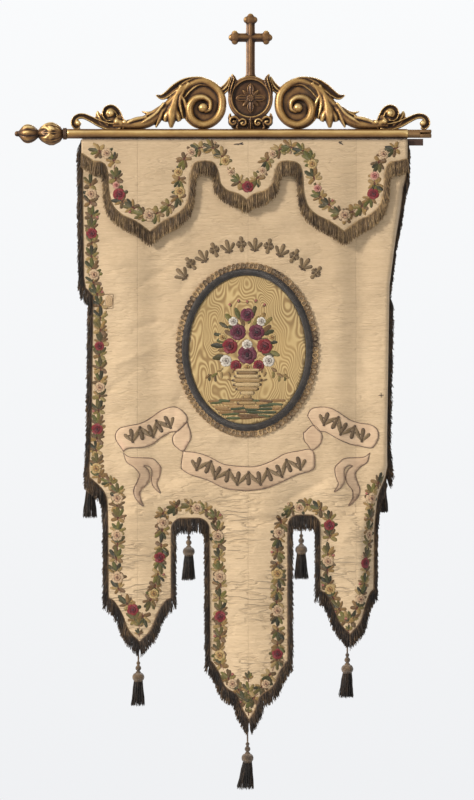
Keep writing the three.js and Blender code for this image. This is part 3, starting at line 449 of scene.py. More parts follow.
low_down = ranged(silk_up, -1.12, -1.25, 0.3, 1.0)
pucker_noise = spots(silk_map, 1.0, detail=2, stretch=(12, 46, 1), roughness=0.55)
pucker = sums("ABSOLUTE", sums("SUBTRACT", pucker_noise, 0.5))
pucker = ranged(pucker, 0.0, 0.07, 1, 0)
here_and_there = shades(spots(silk_map, 9, detail=2), [(0.42, (0, 0, 0)), (0.54, (1, 1, 1))])
pucker = sums("MULTIPLY", sums("MULTIPLY", pucker, low_down), here_and_there)
# Painted shade in the creases: the pucker lines are darkened in the silk's colour as well as sunk in its bump.
ivory = blended(sums("MULTIPLY", pucker, 0.26), ivory, (0.33, 0.21, 0.105, 1))
paint(silk_shader, ivory)
RIB_PITCH = 0.0014
ribs = waves(silk_up, 2 * pi / RIB_PITCH)
crumple = spots(silk_map, 1.0, detail=4, stretch=(14, 46, 1), roughness=0.6)
taut = ranged(silk_up, -0.3, -0.95, 0.45, 1.0)
silk_height = sums("MULTIPLY_ADD", crumple, taut, sums("MULTIPLY", ribs, 0.035))
silk_height = sums("MULTIPLY_ADD", slubs, 0.06, silk_height)
silk_height = sums("MULTIPLY_ADD", seam_line, -0.12, silk_height)
silk_height = sums("MULTIPLY_ADD", pucker, -0.75, silk_height)
drape = spots(silk_map, 1.0, detail=1.5, stretch=(4.5, 8, 1), roughness=0.4)
silk_height = sums("MULTIPLY_ADD", drape, 5.0, silk_height)
raised(silk_shader, silk_height, 0.0062, 0.9)

cloth_outline = without_doubles(np.vstack(list(EDGES.values())))
cloth_inner = inside_of(cloth_outline, cloth_places(-1880), 2.6)
cloth = make_sheet("silk_cloth", closely(cloth_outline), cloth_inner, 0, CLOTH["thick"], True, silk)
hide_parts("banner_cloth")
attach(cloth, "root")
CLOTH_FRONT = CLOTH["thick"] / 2


# Valance. A second scalloped sheet of the same silk, nailed over the cloth's top edge, with two big lobes
# and a small one between them.
VALANCE = {"top": -123, "ahead": 7.5, "thick": 1.6, "left_end": -166, "right_end": -183}
BIG_LOBE = [(168, -189), (138, -196), (126, -222), (121, -282), (108, -324), (80, -351), (42, -370), (0, -401)]
SMALL_LOBE = [(122.5, -189), (99, -195), (87, -220), (79, -256), (58, -277), (24, -288), (0, -306)]
LOBES = [(-303, BIG_LOBE), (-12.5, SMALL_LOBE), (278, BIG_LOBE)]
valance_parts = [[(CLOTH["middle"] - CLOTH["half"], VALANCE["left_end"])]]
for lobe_middle, lobe_rows in LOBES:
    for direction in (-1, 1):
        half = smooth_line([(lobe_middle + direction * out, z) for out, z in lobe_rows], 4)
        valance_parts.append(half if direction < 0 else half[::-1])
valance_parts.append([(CLOTH["middle"] + CLOTH["half"], VALANCE["right_end"])])
EDGES["valance"] = without_doubles(np.vstack(valance_parts))
valance_top = [(CLOTH["middle"] + CLOTH["half"], VALANCE["top"]), (CLOTH["middle"] - CLOTH["half"], VALANCE["top"])]
valance_outline = np.vstack([EDGES["valance"], valance_top])
valance_grid = [(x, z) for z in np.arange(-129, -400, -7) for x in np.arange(-500, 466, 8)]
valance_inner = inside_of(valance_outline, np.array(valance_grid, float), 2.6)
valance = make_sheet("silk_valance", closely(valance_outline), valance_inner, VALANCE["ahead"], VALANCE["thick"],
                     False, silk)
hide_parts("valance")
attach(valance, "root")
VALANCE_FRONT = VALANCE["ahead"] + VALANCE["thick"] / 2


# Flower garlands. Roses, buds and leaves in padded satin stitch follow every edge of the cloth and the valance;
# each petal or leaf is its own small pad of thread, sewn straight onto the silk and outlined in a darker one.
def dye(red, green, blue):
    """A thread's colour from the usual 0 to 255 values."""
    return tuple(((part / 255 + 0.055) / 1.055) ** 2.4 if part > 10 else part / 3295 for part in (red, green, blue))


PAD_ALONG = [0.0, 0.2, 0.52, 0.84, 1.0]
PAD_ACROSS = [-1.0, -0.74, 0.0, 0.74, 1.0]
PAD_SPOTS = np.arange(len(PAD_ALONG) * len(PAD_ACROSS)).reshape(len(PAD_ALONG), -1)
PAD_FACES = [(a, a + len(PAD_ACROSS), a + len(PAD_ACROSS) + 1, a + 1) for a in PAD_SPOTS[:-1, :-1].ravel().tolist()]
PAD_RIM = [PAD_SPOTS[:, 0], PAD_SPOTS[-1, 1:], PAD_SPOTS[-2::-1, -1], PAD_SPOTS[0, -2:0:-1]]
PAD_UNDER = np.concatenate(PAD_RIM)[::-1].tolist()
PAD_WIDTHS = {
    "leaf": [0.1, 0.66, 1.0, 0.62, 0.06],
    "petal": [0.34, 0.74, 1.0, 0.86, 0.34],
    "stroke": [0.45, 0.85, 1.0, 0.85, 0.45],
    "drop": [0.08, 0.42, 0.86, 0.96, 0.4],
}


def new_work():
    return {"flat": [], "ahead": [], "faces": [], "under": [], "thread": [], "dye": [], "rim": []}


def pad(work, x, z, heading, length, width, height, colour, shape="leaf", lift=0.0, vein=0.0, lobes=0.0):
    """One padded patch of satin stitch from its root at x, z; sizes in millimetres, heading in degrees."""
    turn = radians(heading)
    first = len(work["flat"])
    for i, (along, wide) in enumerate(zip(PAD_ALONG, PAD_WIDTHS[shape])):
        wide *= 1 + (lobes if i % 2 else -lobes)
        for across in PAD_ACROSS:
            side = across * wide * width / 2
            out = along * length
            work["flat"].append((x + out * cos(turn) - side * sin(turn),
                                 z + out * sin(turn) + side * cos(turn)))
            rim = abs(across) == 1 or along in (0.0, 1.0)
            crown = (1 - across**2) ** 0.5 * sin(pi * (0.12 + 0.76 * along)) ** 0.5
            foot = lift - 0.1 if lift > 1 else -0.3
            work["ahead"].append(foot if rim else lift + height * crown * (1 - vein * (across == 0)))
            work["thread"].append((out / 1000, side / 1000))
            work["dye"].append(colour)
            work["rim"].append(1.0 if rim else 0.0)
    work["faces"] += [[first + k for k in face] for face in PAD_FACES]
    work["under"].append([first + k for k in PAD_UNDER])


def sewn(name, work, finish, base, curled=True):
    """The collected pads as one piece, hung on the cloth at a base distance in front of its middle."""
    flat = np.array(work["flat"])
    points = hung(flat[:, 0], flat[:, 1], base + np.array(work["ahead"]), curled)
    made = smooth_object(name, points, work["faces"] + work["under"], finish)
    flags = np.ones(len(made.data.polygons), bool)
    flags[len(work["faces"]):] = False
    made.data.polygons.foreach_set("use_smooth", flags)
    lay_map(made, work["thread"], "thread")
    colours = np.hstack([np.array(work["dye"]), np.ones((len(flat), 1))]).astype(np.float32)
    made.data.color_attributes.new("dye", "FLOAT_COLOR", "POINT").data.foreach_set("color", colours.ravel())
    made.data.attributes.new("rim", "FLOAT", "POINT").data.foreach_set("value", np.array(work["rim"], np.float32))
    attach(made, "root")
    return made


def thread_finish(name, pitch, depth, rim_dark, sheen):
    """Satin stitch: fine threads across each pad, darker towards its outline."""
    finish, shader = new_finish(name, 0.48, sheen=sheen, specular=0.4)
    run = wire(finish, "ShaderNodeUVMap", {}, uv_map="thread")
    along = part_of(run, 0)
    colour = wire(finish, "ShaderNodeVertexColor", {}, layer_name="dye")
    rim = wire(finish, "ShaderNodeAttribute", {}, output=2, attribute_name="rim")
    uneven = spots(run, 900, detail=2)
    threads = sums("SINE", sums("MULTIPLY_ADD", along, 2 * pi / pitch, uneven))
    tone = shades(threads, [(0.0, (0.66, 0.62, 0.58)), (0.7, (1.1, 1.08, 1.05))])
    colour = blended(1.0, colour, tone, "MULTIPLY")
    worn = shades(spots(run, 260, detail=3), [(0.35, (0.78, 0.75, 0.7)), (0.65, (1.12, 1.12, 1.1))])
    colour = blended(1.0, colour, worn, "MULTIPLY")
    border = shades(rim, [(0.3, (1, 1, 1)), (0.72, rim_dark)])
    paint(shader, blended(1.0, colour, border, "MULTIPLY"))
    raised(shader, threads, depth, 0.7)
    return finish


embroidery = thread_finish("embroidery_thread", 0.0011, 0.0003, (0.26, 0.19, 0.14), 0.08)

ROSES = {
    "crimson": [dye(136, 38, 46), dye(108, 20, 32), dye(70, 12, 22)],
    "cream": [dye(205, 177, 144), dye(192, 158, 126), dye(122, 86, 64)],
    "pink": [dye(204, 152, 136), dye(182, 112, 102), dye(130, 62, 62)],
    "gold": [dye(198, 170, 116), dye(178, 142, 86), dye(122, 86, 48)],
}
GREENS = [dye(92, 92, 40), dye(66, 66, 30), dye(116, 110, 50), dye(52, 50, 26), dye(100, 90, 42), dye(80, 72, 36)]
TANS = [dye(158, 128, 76), dye(136, 106, 62), dye(172, 146, 96), dye(116, 88, 54), dye(140, 124, 70), dye(104, 82, 50)]
STEM_DYE = dye(112, 44, 38)


def rose(work, x, z, size, kind, chance, lift=0.0):
    """A rose seen from above: two rings of petals that wind round a heart, each one lapping the next."""
    outer, middle, heart = ROSES[kind]
    lean = chance.uniform(0, 72)
    way = chance.choice([-1, 1])
    rings = [(5, 0.3, 0.54, 0.38, 1.9, 0.0, outer), (3, 0.14, 0.38, 0.25, 1.3, 1.9, middle),
             (1, 0.0, 0.22, 0.18, 1.0, 3.3, heart)]
    for count, out, length, width, tall, up, colour in rings:
        for k in range(count):
            angle = radians(lean + 360 / count * k + chance.uniform(-6, 6))
            heading = angle + way * (pi / 2 + 0.16)
            px = x + size * (out * cos(angle) - length / 2 * cos(heading))
            pz = z + size * (out * sin(angle) - length / 2 * sin(heading))
            pad(work, px, pz, degrees(heading), length * size, width * size, tall, colour, "petal", lift + up)


def leaf(work, x, z, heading, length, chance, colour=None, wide=0.44, lift=0.0):
    colour = colour or chance.choice(GREENS + TANS)
    pad(work, x, z, heading, length, length * wide * chance.uniform(0.88, 1.12), 1.5, colour, "leaf", lift, 0.5,
        chance.choice([0.0, 0.14, 0.24]))


def bud(work, x, z, heading, kind, chance):
    pad(work, x, z, heading, 12, 9, 1.9, ROSES[kind][1], "drop", 0.4)
    for side in (-1, 1):
        pad(work, x, z, heading + side * 22, 9, 4.0, 1.4, chance.choice(GREENS), "leaf", 0.6)


def spray(work, x, z, heading, chance, size=1.0, back=True):
    """A spray of leaves on one short stem: green ones in its middle, tan ones at its sides, two broad ones behind."""
    turn = radians(heading)
    pad(work, x - 10 * cos(turn), z - 10 * sin(turn), heading, 22 * size, 2.4, 1.0, STEM_DYE, "stroke")
    if back:
        for side in (-1, 1):
            leaf(work, x, z, heading + side * chance.uniform(104, 138), size * chance.uniform(17, 22), chance,
                 chance.choice(TANS), 0.66)
    leaves = [(62, 23, TANS), (-58, 22, TANS), (34, 28, GREENS), (-30, 27, TANS + GREENS), (4, 31, GREENS)]
    for lean, length, dyes in leaves:
        leaf(work, x, z, heading + lean + chance.uniform(-9, 9), size * length * chance.uniform(0.88, 1.1), chance,
             chance.choice(dyes), 0.4, 0.4)


PATH_STEP = 3.0


def garland(work, path, flowers, chance, pitch=33.0):
    """Sprays of leaves along a path between the flowers, which are placed as listed, with red twigs joining them."""
    line = smooth_line(path, PATH_STEP)
    run = np.arange(len(line)) * PATH_STEP
    marks = [0.0]
    for _, x, z, size in flowers:
        near = np.hypot(line[:, 0] - x, line[:, 1] - z)
        if near.min() < 30:
            marks.append(run[int(near.argmin())])
    marks = sorted({round(mark, 1) for mark in [*marks, run[-1]]})
    for start, end in zip(marks, marks[1:]):
        room = end - start
        count = max(0, int(round((room - 26) / pitch)))
        for k in range(count):
            at = int(round((start + room * (k + 0.5) / count + 6) / PATH_STEP))
            at = min(max(at, 1), len(line) - 2)
            dx, dz = line[at + 1] - line[at - 1]
            heading = degrees(atan2(dz, dx)) + 180 + chance.uniform(-12, 12)
            aside = chance.uniform(-3, 3)
            x, z = line[at] + aside * np.array([-dz, dx]) / max(hypot(dx, dz), 1e-6)
            spray(work, x, z, heading, chance, min(1.2, room / count / pitch * 1.1))
            if k % 3 == 1:
                side = chance.choice([-1, 1])
                angle = radians(heading + side * 88)
                bud(work, x + 9 * cos(angle), z + 9 * sin(angle), degrees(angle),
                    chance.choice(["pink", "cream", "gold"]), chance)
    for at in range(4, len(line) - 5, 6):
        dx, dz = line[at + 2] - line[at - 2]
        heading = degrees(atan2(dz, dx)) + chance.uniform(-24, 24)
        pad(work, *line[at], heading, 15, 2.2, 1.0, STEM_DYE, "stroke")
    for kind, x, z, size in flowers:
        for k in range(3):
            leaf(work, x, z, chance.uniform(0, 360), size * 0.8, chance, None, 0.5)
        rose(work, x, z, size * 1.08, kind, chance)


LEFT_PATH = [
    (-480, -222), (-478, -285), (-475, -405), (-470, -531), (-452, -627), (-448, -740), (-452, -870), (-458, -993),
    (-460, -1100), (-440, -1140), (-404, -1166), (-396, -1215), (-398, -1308), (-398, -1437), (-378, -1500),
    (-352, -1534), (-334, -1580),
]
LEFT_FLOWERS = [
    ("cream", -477, -287, 35), ("crimson", -475, -405, 34), ("cream", -468, -528, 34), ("crimson", -452, -742, 30),
    ("cream", -451, -866, 34), ("crimson", -459, -990, 36), ("gold", -462, -1108, 34), ("cream", -399, -1198, 36),
    ("cream", -399, -1308, 36), ("cream", -398, -1434, 38), ("crimson", -352, -1530, 36),
]
INNER_BANDS = [
    ([
        (-334, -1580), (-322, -1548), (-296, -1500), (-282, -1452), (-272, -1374), (-264, -1290), (-258, -1240),
        (-232, -1224), (-196, -1217), (-160, -1225), (-128, -1234), (-104, -1262), (-98, -1311), (-92, -1434),
        (-90, -1554), (-92, -1660), (-80, -1712), (-50, -1752), (-22, -1786), (-6, -1812),
    ], [
        ("gold", -290, -1482, 32), ("crimson", -272, -1374, 34), ("cream", -262, -1270, 36),
        ("cream", -160, -1227, 34), ("cream", -98, -1311, 36), ("cream", -92, -1432, 38), ("crimson", -91, -1552, 36),
        ("gold", -92, -1668, 34), ("cream", -54, -1752, 30),
    ]),
    ([
        (-6, -1812), (14, -1786), (40, -1752), (66, -1712), (80, -1660), (80, -1533), (80, -1422), (86, -1299),
        (94, -1258), (120, -1230), (158, -1220), (200, -1224), (224, -1246), (236, -1275), (232, -1386), (236, -1460),
        (254, -1510), (276, -1546), (294, -1576),
    ], [
        ("cream", 46, -1752, 28), ("crimson", 80, -1662, 34), ("cream", 80, -1533, 36), ("gold", 80, -1422, 36),
        ("cream", 85, -1300, 34), ("cream", 146, -1226, 32), ("crimson", 236, -1278, 34), ("cream", 232, -1386, 34),
        ("gold", 238, -1470, 32),
    ]),
]
VALANCE_PATH = [
    (-484, -146), (-456, -158), (-428, -166), (-408, -190), (-402, -230), (-400, -262), (-392, -292), (-372, -318),
    (-340, -334), (-304, -350), (-262, -334), (-230, -308), (-212, -279), (-214, -232), (-208, -194), (-180, -164),
    (-148, -150), (-116, -150), (-88, -170), (-74, -196), (-56, -228), (-34, -250), (-8, -264), (16, -246),
    (36, -220), (50, -190), (72, -162), (104, -148), (136, -150), (164, -162), (184, -196), (192, -240), (202, -280),
    (226, -312), (252, -332), (280, -350), (316, -334), (346, -314), (368, -288), (372, -240), (380, -196),
    (400, -166), (430, -152), (456, -146),
]
VALANCE_FLOWERS = [
    ("cream", -430, -166, 32), ("pink", -401, -262, 22), ("crimson", -392, -289, 37), ("cream", -304, -351, 38),
    ("gold", -212, -280, 33), ("gold", -216, -222, 26), ("cream", -176, -162, 28), ("gold", -76, -188, 28),
    ("cream", -58, -222, 22), ("crimson", -8, -265, 36), ("cream", 36, -218, 26), ("cream", 66, -168, 26),
    ("gold", 184, -198, 30), ("pink", 200, -270, 24), ("cream", 280, -351, 38), ("crimson", 368, -286, 35),
    ("pink", 372, -232, 26), ("cream", 398, -168, 30),
]
chance = random.Random(11)
cloth_work = new_work()
garland(cloth_work, LEFT_PATH, LEFT_FLOWERS, chance)
across_middle = 2 * CLOTH["middle"]
right_path = [(across_middle - x, z) for x, z in LEFT_PATH[9:13]]
right_path += [(352, -1380), (346, -1440), (330, -1500), (308, -1544), (294, -1576)]
right_flowers = [(kind, across_middle - x, z, size) for kind, x, z, size in LEFT_FLOWERS[7:9]]
right_flowers += [("crimson", 348, -1392, 34), ("cream", 330, -1500, 32)]
garland(cloth_work, right_path, right_flowers, chance)
for path, flowers in INNER_BANDS:
    garland(cloth_work, path, flowers, chance)
for tip_x, tip_z, size in ((-6, -1838, 0.62), (-6, -1812, 0.95), (-6, -1776, 1.15), (-6, -1738, 0.9),
                           (-333, -1604, 0.7), (-333, -1578, 1.0), (294, -1594, 0.7), (294, -1570, 0.95)):
    spray(cloth_work, tip_x, tip_z, 90, chance, size, False)
cloth_garlands = sewn("garlands_on_cloth", cloth_work, embroidery, CLOTH_FRONT)
valance_work = new_work()
garland(valance_work, VALANCE_PATH, VALANCE_FLOWERS, chance)
valance_garlands = sewn("garlands_on_valance", valance_work, embroidery, VALANCE_FRONT, False)


# Ribbon. A folded streamer of rosy silk appliqued under the oval, in three swags with two forked tails, edged in
# stem stitch. A running sprig in dark padded thread is sewn along it.
# How far each part lies off the cloth, and its outline.
RIBBON_PARTS = [
    (0.6, [
        (-380, -1062), (-358, -1074), (-298, -1077), (-280, -1089), (-268, -1107), (-274, -1137), (-280, -1155),
        (-269, -1182), (-290, -1164), (-298, -1143), (-296, -1116), (-304, -1102), (-321, -1100), (-308, -1110),
        (-302, -1131), (-310, -1155), (-328, -1173), (-328, -1197), (-320, -1221), (-344, -1197), (-350, -1172),
        (-338, -1143), (-334, -1122), (-351, -1102), (-370, -1089)]),
    (0.8, [
        (-189, -969), (-178, -1011), (-188, -1035), (-202, -1056), (-222, -1044), (-232, -1032), (-232, -1011),
        (-219, -996)]),
    (1.3, [
        (-380, -1056), (-404, -1017), (-394, -990), (-368, -981), (-328, -972), (-296, -954), (-268, -935),
        (-238, -924), (-218, -926), (-200, -939), (-189, -957), (-195, -972), (-219, -996), (-238, -999),
        (-266, -1014), (-296, -1036), (-326, -1045), (-364, -1047)]),
    (0.6, [
        (357, -1062), (338, -1074), (284, -1077), (266, -1089), (252, -1107), (256, -1137), (262, -1155),
        (250, -1178), (272, -1164), (282, -1143), (280, -1116), (288, -1102), (306, -1100), (292, -1110),
        (284, -1131), (290, -1155), (304, -1173), (304, -1197), (293, -1221), (320, -1197), (328, -1172),
        (318, -1143), (314, -1122), (332, -1102), (350, -1089)]),
    (0.8, [
        (158, -1002), (160, -1023), (172, -1038), (184, -1053), (206, -1038), (214, -1020), (212, -1002),
        (188, -978)]),
    (1.3, [
        (170, -950), (182, -930), (212, -924), (238, -927), (262, -939), (298, -963), (328, -972), (362, -978),
        (380, -993), (382, -1017), (370, -1041), (358, -1047), (328, -1041), (298, -1035), (262, -1020),
        (226, -999), (206, -996), (188, -978)]),
    (1.3, [
        (-202, -1056), (-156, -1062), (-122, -1074), (-80, -1095), (-34, -1101), (14, -1102), (62, -1086),
        (100, -1065), (140, -1056), (184, -1053), (192, -1100), (178, -1115), (136, -1128), (92, -1149),
        (45, -1167), (-2, -1174), (-34, -1173), (-80, -1166), (-128, -1143), (-176, -1128), (-202, -1113),
        (-208, -1101)]),
]
ribbon_silk, ribbon_shader = new_finish("rosy_ribbon_silk", 0.5, sheen=0.3, specular=0.35)
ribbon_map = wire(ribbon_silk, "ShaderNodeUVMap", {}, uv_map="flat")
ribbon_up = part_of(ribbon_map, 1)
ribbon_cloud = spots(ribbon_map, 14, detail=4)
rosy = shades(ribbon_cloud, [(0.32, dye(180, 150, 120)), (0.6, dye(205, 176, 142)), (0.8, dye(212, 172, 144))])
dip = ranged(ribbon_up, -1.1, -1.2, 0, 0.8)
rosy = blended(dip, rosy, (*dye(104, 80, 60), 1))
ribbon_streaks = spots(ribbon_map, 1.0, detail=4, stretch=(30, 420, 1))
rosy = blended(0.25, rosy, shades(ribbon_streaks, [(0.35, dye(140, 108, 82)), (0.65, dye(216, 186, 150))]))
paint(ribbon_shader, rosy)
raised(ribbon_shader, ribbon_streaks, 0.001, 0.5)

ribbon_points, ribbon_faces, ribbon_flat = [], [], []
ribbon_edges = []
for lift, edge in RIBBON_PARTS:
    closed = smooth_line([*edge, edge[0]], 5)[:-1]
    ribbon_edges.append((closed, lift))
    low, high = closed.min(axis=0), closed.max(axis=0)
    grid = [(x, z) for z in np.arange(low[1], high[1], 8) for x in np.arange(low[0], high[0], 8)]
    places, faces = cut_sheet(closed, inside_of(closed, np.array(grid), 3))
    ribbon_faces += [[len(ribbon_flat) + i for i in face] for face in faces]
    ribbon_flat += list(places)
    ribbon_points += list(hung(places[:, 0], places[:, 1], CLOTH_FRONT + lift))
ribbon = smooth_object("ribbon_applique", ribbon_points, ribbon_faces, ribbon_silk)
lay_map(ribbon, np.array(ribbon_flat) / 1000)
ribbon_wall = ribbon.modifiers.new("thickness", "SOLIDIFY")
ribbon_wall.thickness = 0.0006
ribbon_wall.offset = -1
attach(ribbon, "root")

SPRIG_DYES = [dye(112, 92, 66), dye(134, 113, 82), dye(92, 73, 52)]


def sprig(work, x, z, up, size, dyes):
    """A small palmette: a middle petal, two leaning ones and a knot at the root."""
    turn = radians(up)
    root = (x - 0.5 * size * cos(turn), z - 0.5 * size * sin(turn))
    pad(work, *root, up, size, size * 0.34, 2.2, dyes[0], "drop", 0.6, 0.25)
    for side in (-1, 1):
        pad(work, *root, up + side * 38, size * 0.86, size * 0.28, 2.0, dyes[1], "drop", 0.3, 0.2)
    pad(work, root[0] - 3 * cos(turn), root[1] - 3 * sin(turn), up, 8, 9, 2.2, dyes[2], "petal", 1.0)


RIBBON_LINES = [
    [(-384, -1012), (-340, -1006), (-300, -996), (-262, -976), (-222, -956)],
    [(-188, -1088), (-140, -1098), (-90, -1124), (-34, -1137), (20, -1137), (70, -1122), (120, -1098), (176, -1086)],
    [(196, -952), (240, -964), (284, -992), (330, -1006), (366, -1008)],
]
ribbon_work = new_work()
for line in RIBBON_LINES:
    stops = smooth_line(line, 31)
    for i in range(1, len(stops) - 1):
        step = stops[i + 1] - stops[i - 1]
        along = degrees(atan2(step[1], step[0]))
        up = along + (90 if i % 2 else -90)
        sprig(ribbon_work, *stops[i], up, 42, SPRIG_DYES)
        pad(ribbon_work, *(stops[i] - step * 0.25), along, 15, 4.6, 1.6, SPRIG_DYES[2], "stroke", 0.2)
ribbon_sprigs = sewn("ribbon_sprigs", ribbon_work, embroidery, CLOTH_FRONT + 1.3)


# Arch of ornaments. Eleven padded motifs in brown thread stand in an arch over the oval, lozenge flowers and
# palmettes by turns.
ARCH_LINE = [
    (-208, -524), (-168, -486), (-116, -457), (-62, -441), (-8, -436), (46, -441), (98, -456), (150, -484),
    (196, -522),
]
ORNAMENT_DYES = [dye(140, 118, 86), dye(120, 100, 70), dye(98, 78, 54)]
arch_work = new_work()
arch_stops = even_steps(smooth_line(ARCH_LINE, 4), 43)
for i, (x, z) in enumerate(arch_stops):
    before, after = arch_stops[max(i - 1, 0)], arch_stops[min(i + 1, len(arch_stops) - 1)]
    up = degrees(atan2(after[1] - before[1], after[0] - before[0])) + 90
    if i % 2:
        for quarter in range(4):
            reach = 24 if quarter % 2 == 0 else 16
            pad(arch_work, x, z, up + 90 * quarter, reach, 13.5, 2.6, ORNAMENT_DYES[quarter % 2], "drop", 0.3, 0.3)
            angle = radians(up + 45 + 90 * quarter)
            pad(arch_work, x, z, degrees(angle), 15, 6.5, 1.8, ORNAMENT_DYES[2], "drop", 0.1)
        pad(arch_work, x - 4, z, 0, 8, 8, 1.2, ORNAMENT_DYES[0], "petal", 2.0)
    else:
        sprig(arch_work, x, z, up, 41, ORNAMENT_DYES)
        for side in (-1, 1):
            turn = radians(up)
            root = (x - 18 * cos(turn), z - 18 * sin(turn))
            pad(arch_work, *root, up + side * 84, 14, 7.5, 1.8, ORNAMENT_DYES[2], "leaf", 0.2)
arch_ornaments = sewn("arch_ornaments", arch_work, embroidery, CLOTH_FRONT)


# Oval panel. Gold watered silk on a card, laid on the cloth, with a stitched urn of flowers on it.
OVAL = {"x": -10, "z": -753, "across": 175, "up": 222, "behind": 2.8, "thick": 1.2, "cord": 20, "cord_depth": 8}


def oval_line(out, count):
    """Places on the oval, so many millimetres outside the silk's edge."""
    angle = np.linspace(0, 2 * np.pi, count, endpoint=False)
    x = OVAL["x"] + (OVAL["across"] + out) * np.cos(angle)
    z = OVAL["z"] + (OVAL["up"] + out) * np.sin(angle)
    return np.stack([x, z], axis=1)


watered_silk, watered_shader = new_finish("watered_gold_silk", 0.42, sheen=0.2, specular=0.45)
watered_map = wire(watered_silk, "ShaderNodeUVMap", {}, uv_map="flat")
eddies = spots(watered_map, 1.0, detail=1.2, stretch=(12, 6.0, 1), roughness=0.45)
marks = waves(eddies, 190)
mark_strength = shades(spots(watered_map, 7, detail=2), [(0.35, (0.35,) * 3), (0.6, (1,) * 3)])
marks = sums("MULTIPLY", marks, mark_strength)
gold_tone = shades(sums("MULTIPLY_ADD", marks, 0.5, 0.5),
                   [(0.12, dye(142, 114, 72)), (0.5, dye(166, 138, 90)), (0.86, dye(190, 164, 114))])
gold_cloud = shades(spots(watered_map, 5), [(0.3, (0.86, 0.86, 0.84)), (0.7, (1.08, 1.07, 1.04))])
paint(watered_shader, blended(1.0, gold_tone, gold_cloud, "MULTIPLY"))
watered_up = part_of(watered_map, 1)
watered_ribs = waves(watered_up, 2 * pi / 0.0011)
watered_height = sums("MULTIPLY_ADD", marks, 0.5, sums("MULTIPLY", watered_ribs, 0.3))
raised(watered_shader, watered_height, 0.0003, 0.5)

oval_edge = oval_line(0, 150)
oval_grid = [(x, z) for z in np.arange(-980, -520, 9) for x in np.arange(-190, 170, 9)]
oval_silk = make_sheet("oval_watered_silk", oval_edge, inside_of(oval_edge, np.array(oval_grid, float), 3),
                       OVAL["behind"] + OVAL["thick"] / 2, OVAL["thick"], True, watered_silk)
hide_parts("oval_panel")
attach(oval_silk, "root")
OVAL_FRONT = OVAL["behind"] + OVAL["thick"]

ROSES["plum"] = [dye(112, 44, 64), dye(84, 24, 44), dye(48, 14, 28)]
ROSES["white"] = [dye(226, 220, 210), dye(196, 188, 178), dye(140, 130, 120)]
URN_DYES = [dye(206, 180, 134), dye(178, 148, 100), dye(140, 112, 72)]
GROUND_DYES = [dye(150, 116, 70), dye(112, 82, 48), dye(84, 92, 52), dye(176, 142, 92), dye(64, 74, 44)]
bouquet = new_work()
for row in range(7):
    z = -905 - row * 8.5
    reach = 0.93 * OVAL["across"] * sqrt(max(0.0, 1 - ((z - OVAL["z"]) / OVAL["up"]) ** 2))
    x = OVAL["x"] - reach
    while x < OVAL["x"] + reach - 24:
        length = min(chance.uniform(34, 62), OVAL["x"] + reach - x)
        pad(bouquet, x, z + chance.uniform(-2, 2), chance.uniform(-5, 5), length, 10, 1.2,
            GROUND_DYES[(row + chance.randrange(3)) % len(GROUND_DYES)], "stroke")
        x += length * 0.82
URN_ROWS = [(-912, 62, 12, 1), (-902, 40, 12, 2), (-893, 26, 12, 1), (-882, 46, 14, 0), (-870, 74, 15, 1),
            (-857, 90, 15, 0), (-844, 96, 15, 1), (-832, 84, 13, 0), (-822, 66, 12, 2), (-813, 92, 10, 0)]
for z, wide, tall, tone in URN_ROWS:
    pad(bouquet, OVAL["x"] - wide / 2, z, 0, wide, tall, 3.0, URN_DYES[tone], "stroke", 0.5)
for side in (-1, 1):
    for k, lean in enumerate((20, 62, 104)):
        pad(bouquet, OVAL["x"] + side * (44 + 5 * (k == 1)), -846 + 12 * k, 90 - side * (90 - lean), 17, 5, 1.8,
            URN_DYES[2], "stroke", 0.6)
BOUQUET = [
    ("plum", -10, -768, 62), ("crimson", -62, -742, 50), ("crimson", 42, -742, 50), ("plum", -38, -700, 52),
    ("plum", 18, -700, 52), ("white", -10, -738, 34), ("white", -74, -786, 38), ("white", 54, -786, 38),
    ("plum", -10, -648, 44), ("white", -52, -668, 30), ("white", 32, -668, 30), ("crimson", -44, -800, 36),
    ("crimson", 24, -800, 36), ("gold", -10, -806, 30), ("gold", -84, -716, 26), ("gold", 64, -716, 26),
]
for k in range(26):
    angle = -20 + 220 * k / 25
    reach = chance.uniform(78, 112) if k % 2 else chance.uniform(56, 84)
    turn = radians(angle)
    leaf(bouquet, OVAL["x"] + reach * 0.62 * cos(turn), -738 + reach * 0.86 * sin(turn),
         angle + chance.uniform(-14, 14), chance.uniform(34, 46), chance)
for side in (-1, 1):
    for k in range(6):
        x, z = OVAL["x"] + side * (70 + 9 * k), -806 - 11 * k + 1.5 * k * k
        leaf(bouquet, x, z, 270 + side * (58 - 16 * (k % 2) * 4), 24, chance)
for kind, x, z, size in BOUQUET:
    rose(bouquet, x, z, size, kind, chance)
for k in range(5):
    bud(bouquet, OVAL["x"] + (k - 2) * 24, -616 + 7 * (k % 2) - 4 * abs(k - 2), 90 - (k - 2) * 16, "pink", chance)
urn_of_flowers = sewn("urn_of_flowers", bouquet, embroidery, OVAL_FRONT)


# Wrapped cord. A thick cord bound round and round with tarnished thread frames the oval silk; it is couched down
# along both of its sides.
def tube_faces(rings, sides, first=0, over=False, joined=False):
    """Faces of a tube through rings of points, with two flat ends unless it is joined into one ring."""
    faces = []
    for i in range(rings if joined else rings - 1):
        near, far = first + i * sides, first + (i + 1) % rings * sides
        for j in range(sides):
            k = (j + 1) % sides
            faces.append((near + j, far + j, far + k, near + k) if over else (near + j, near + k, far + k, far + j))
    if joined:
        return faces
    ends = tuple(range(first, first + sides)), tuple(range(far, far + sides))
    return faces + ([ends[0], ends[1][::-1]] if over else [ends[0][::-1], ends[1]])


def circle(sides, start=0.0):
    """Directions at even turns round a circle."""
    turns = [2 * pi * (k + start) / sides for k in range(sides)]
    return [(cos(turn), sin(turn)) for turn in turns]


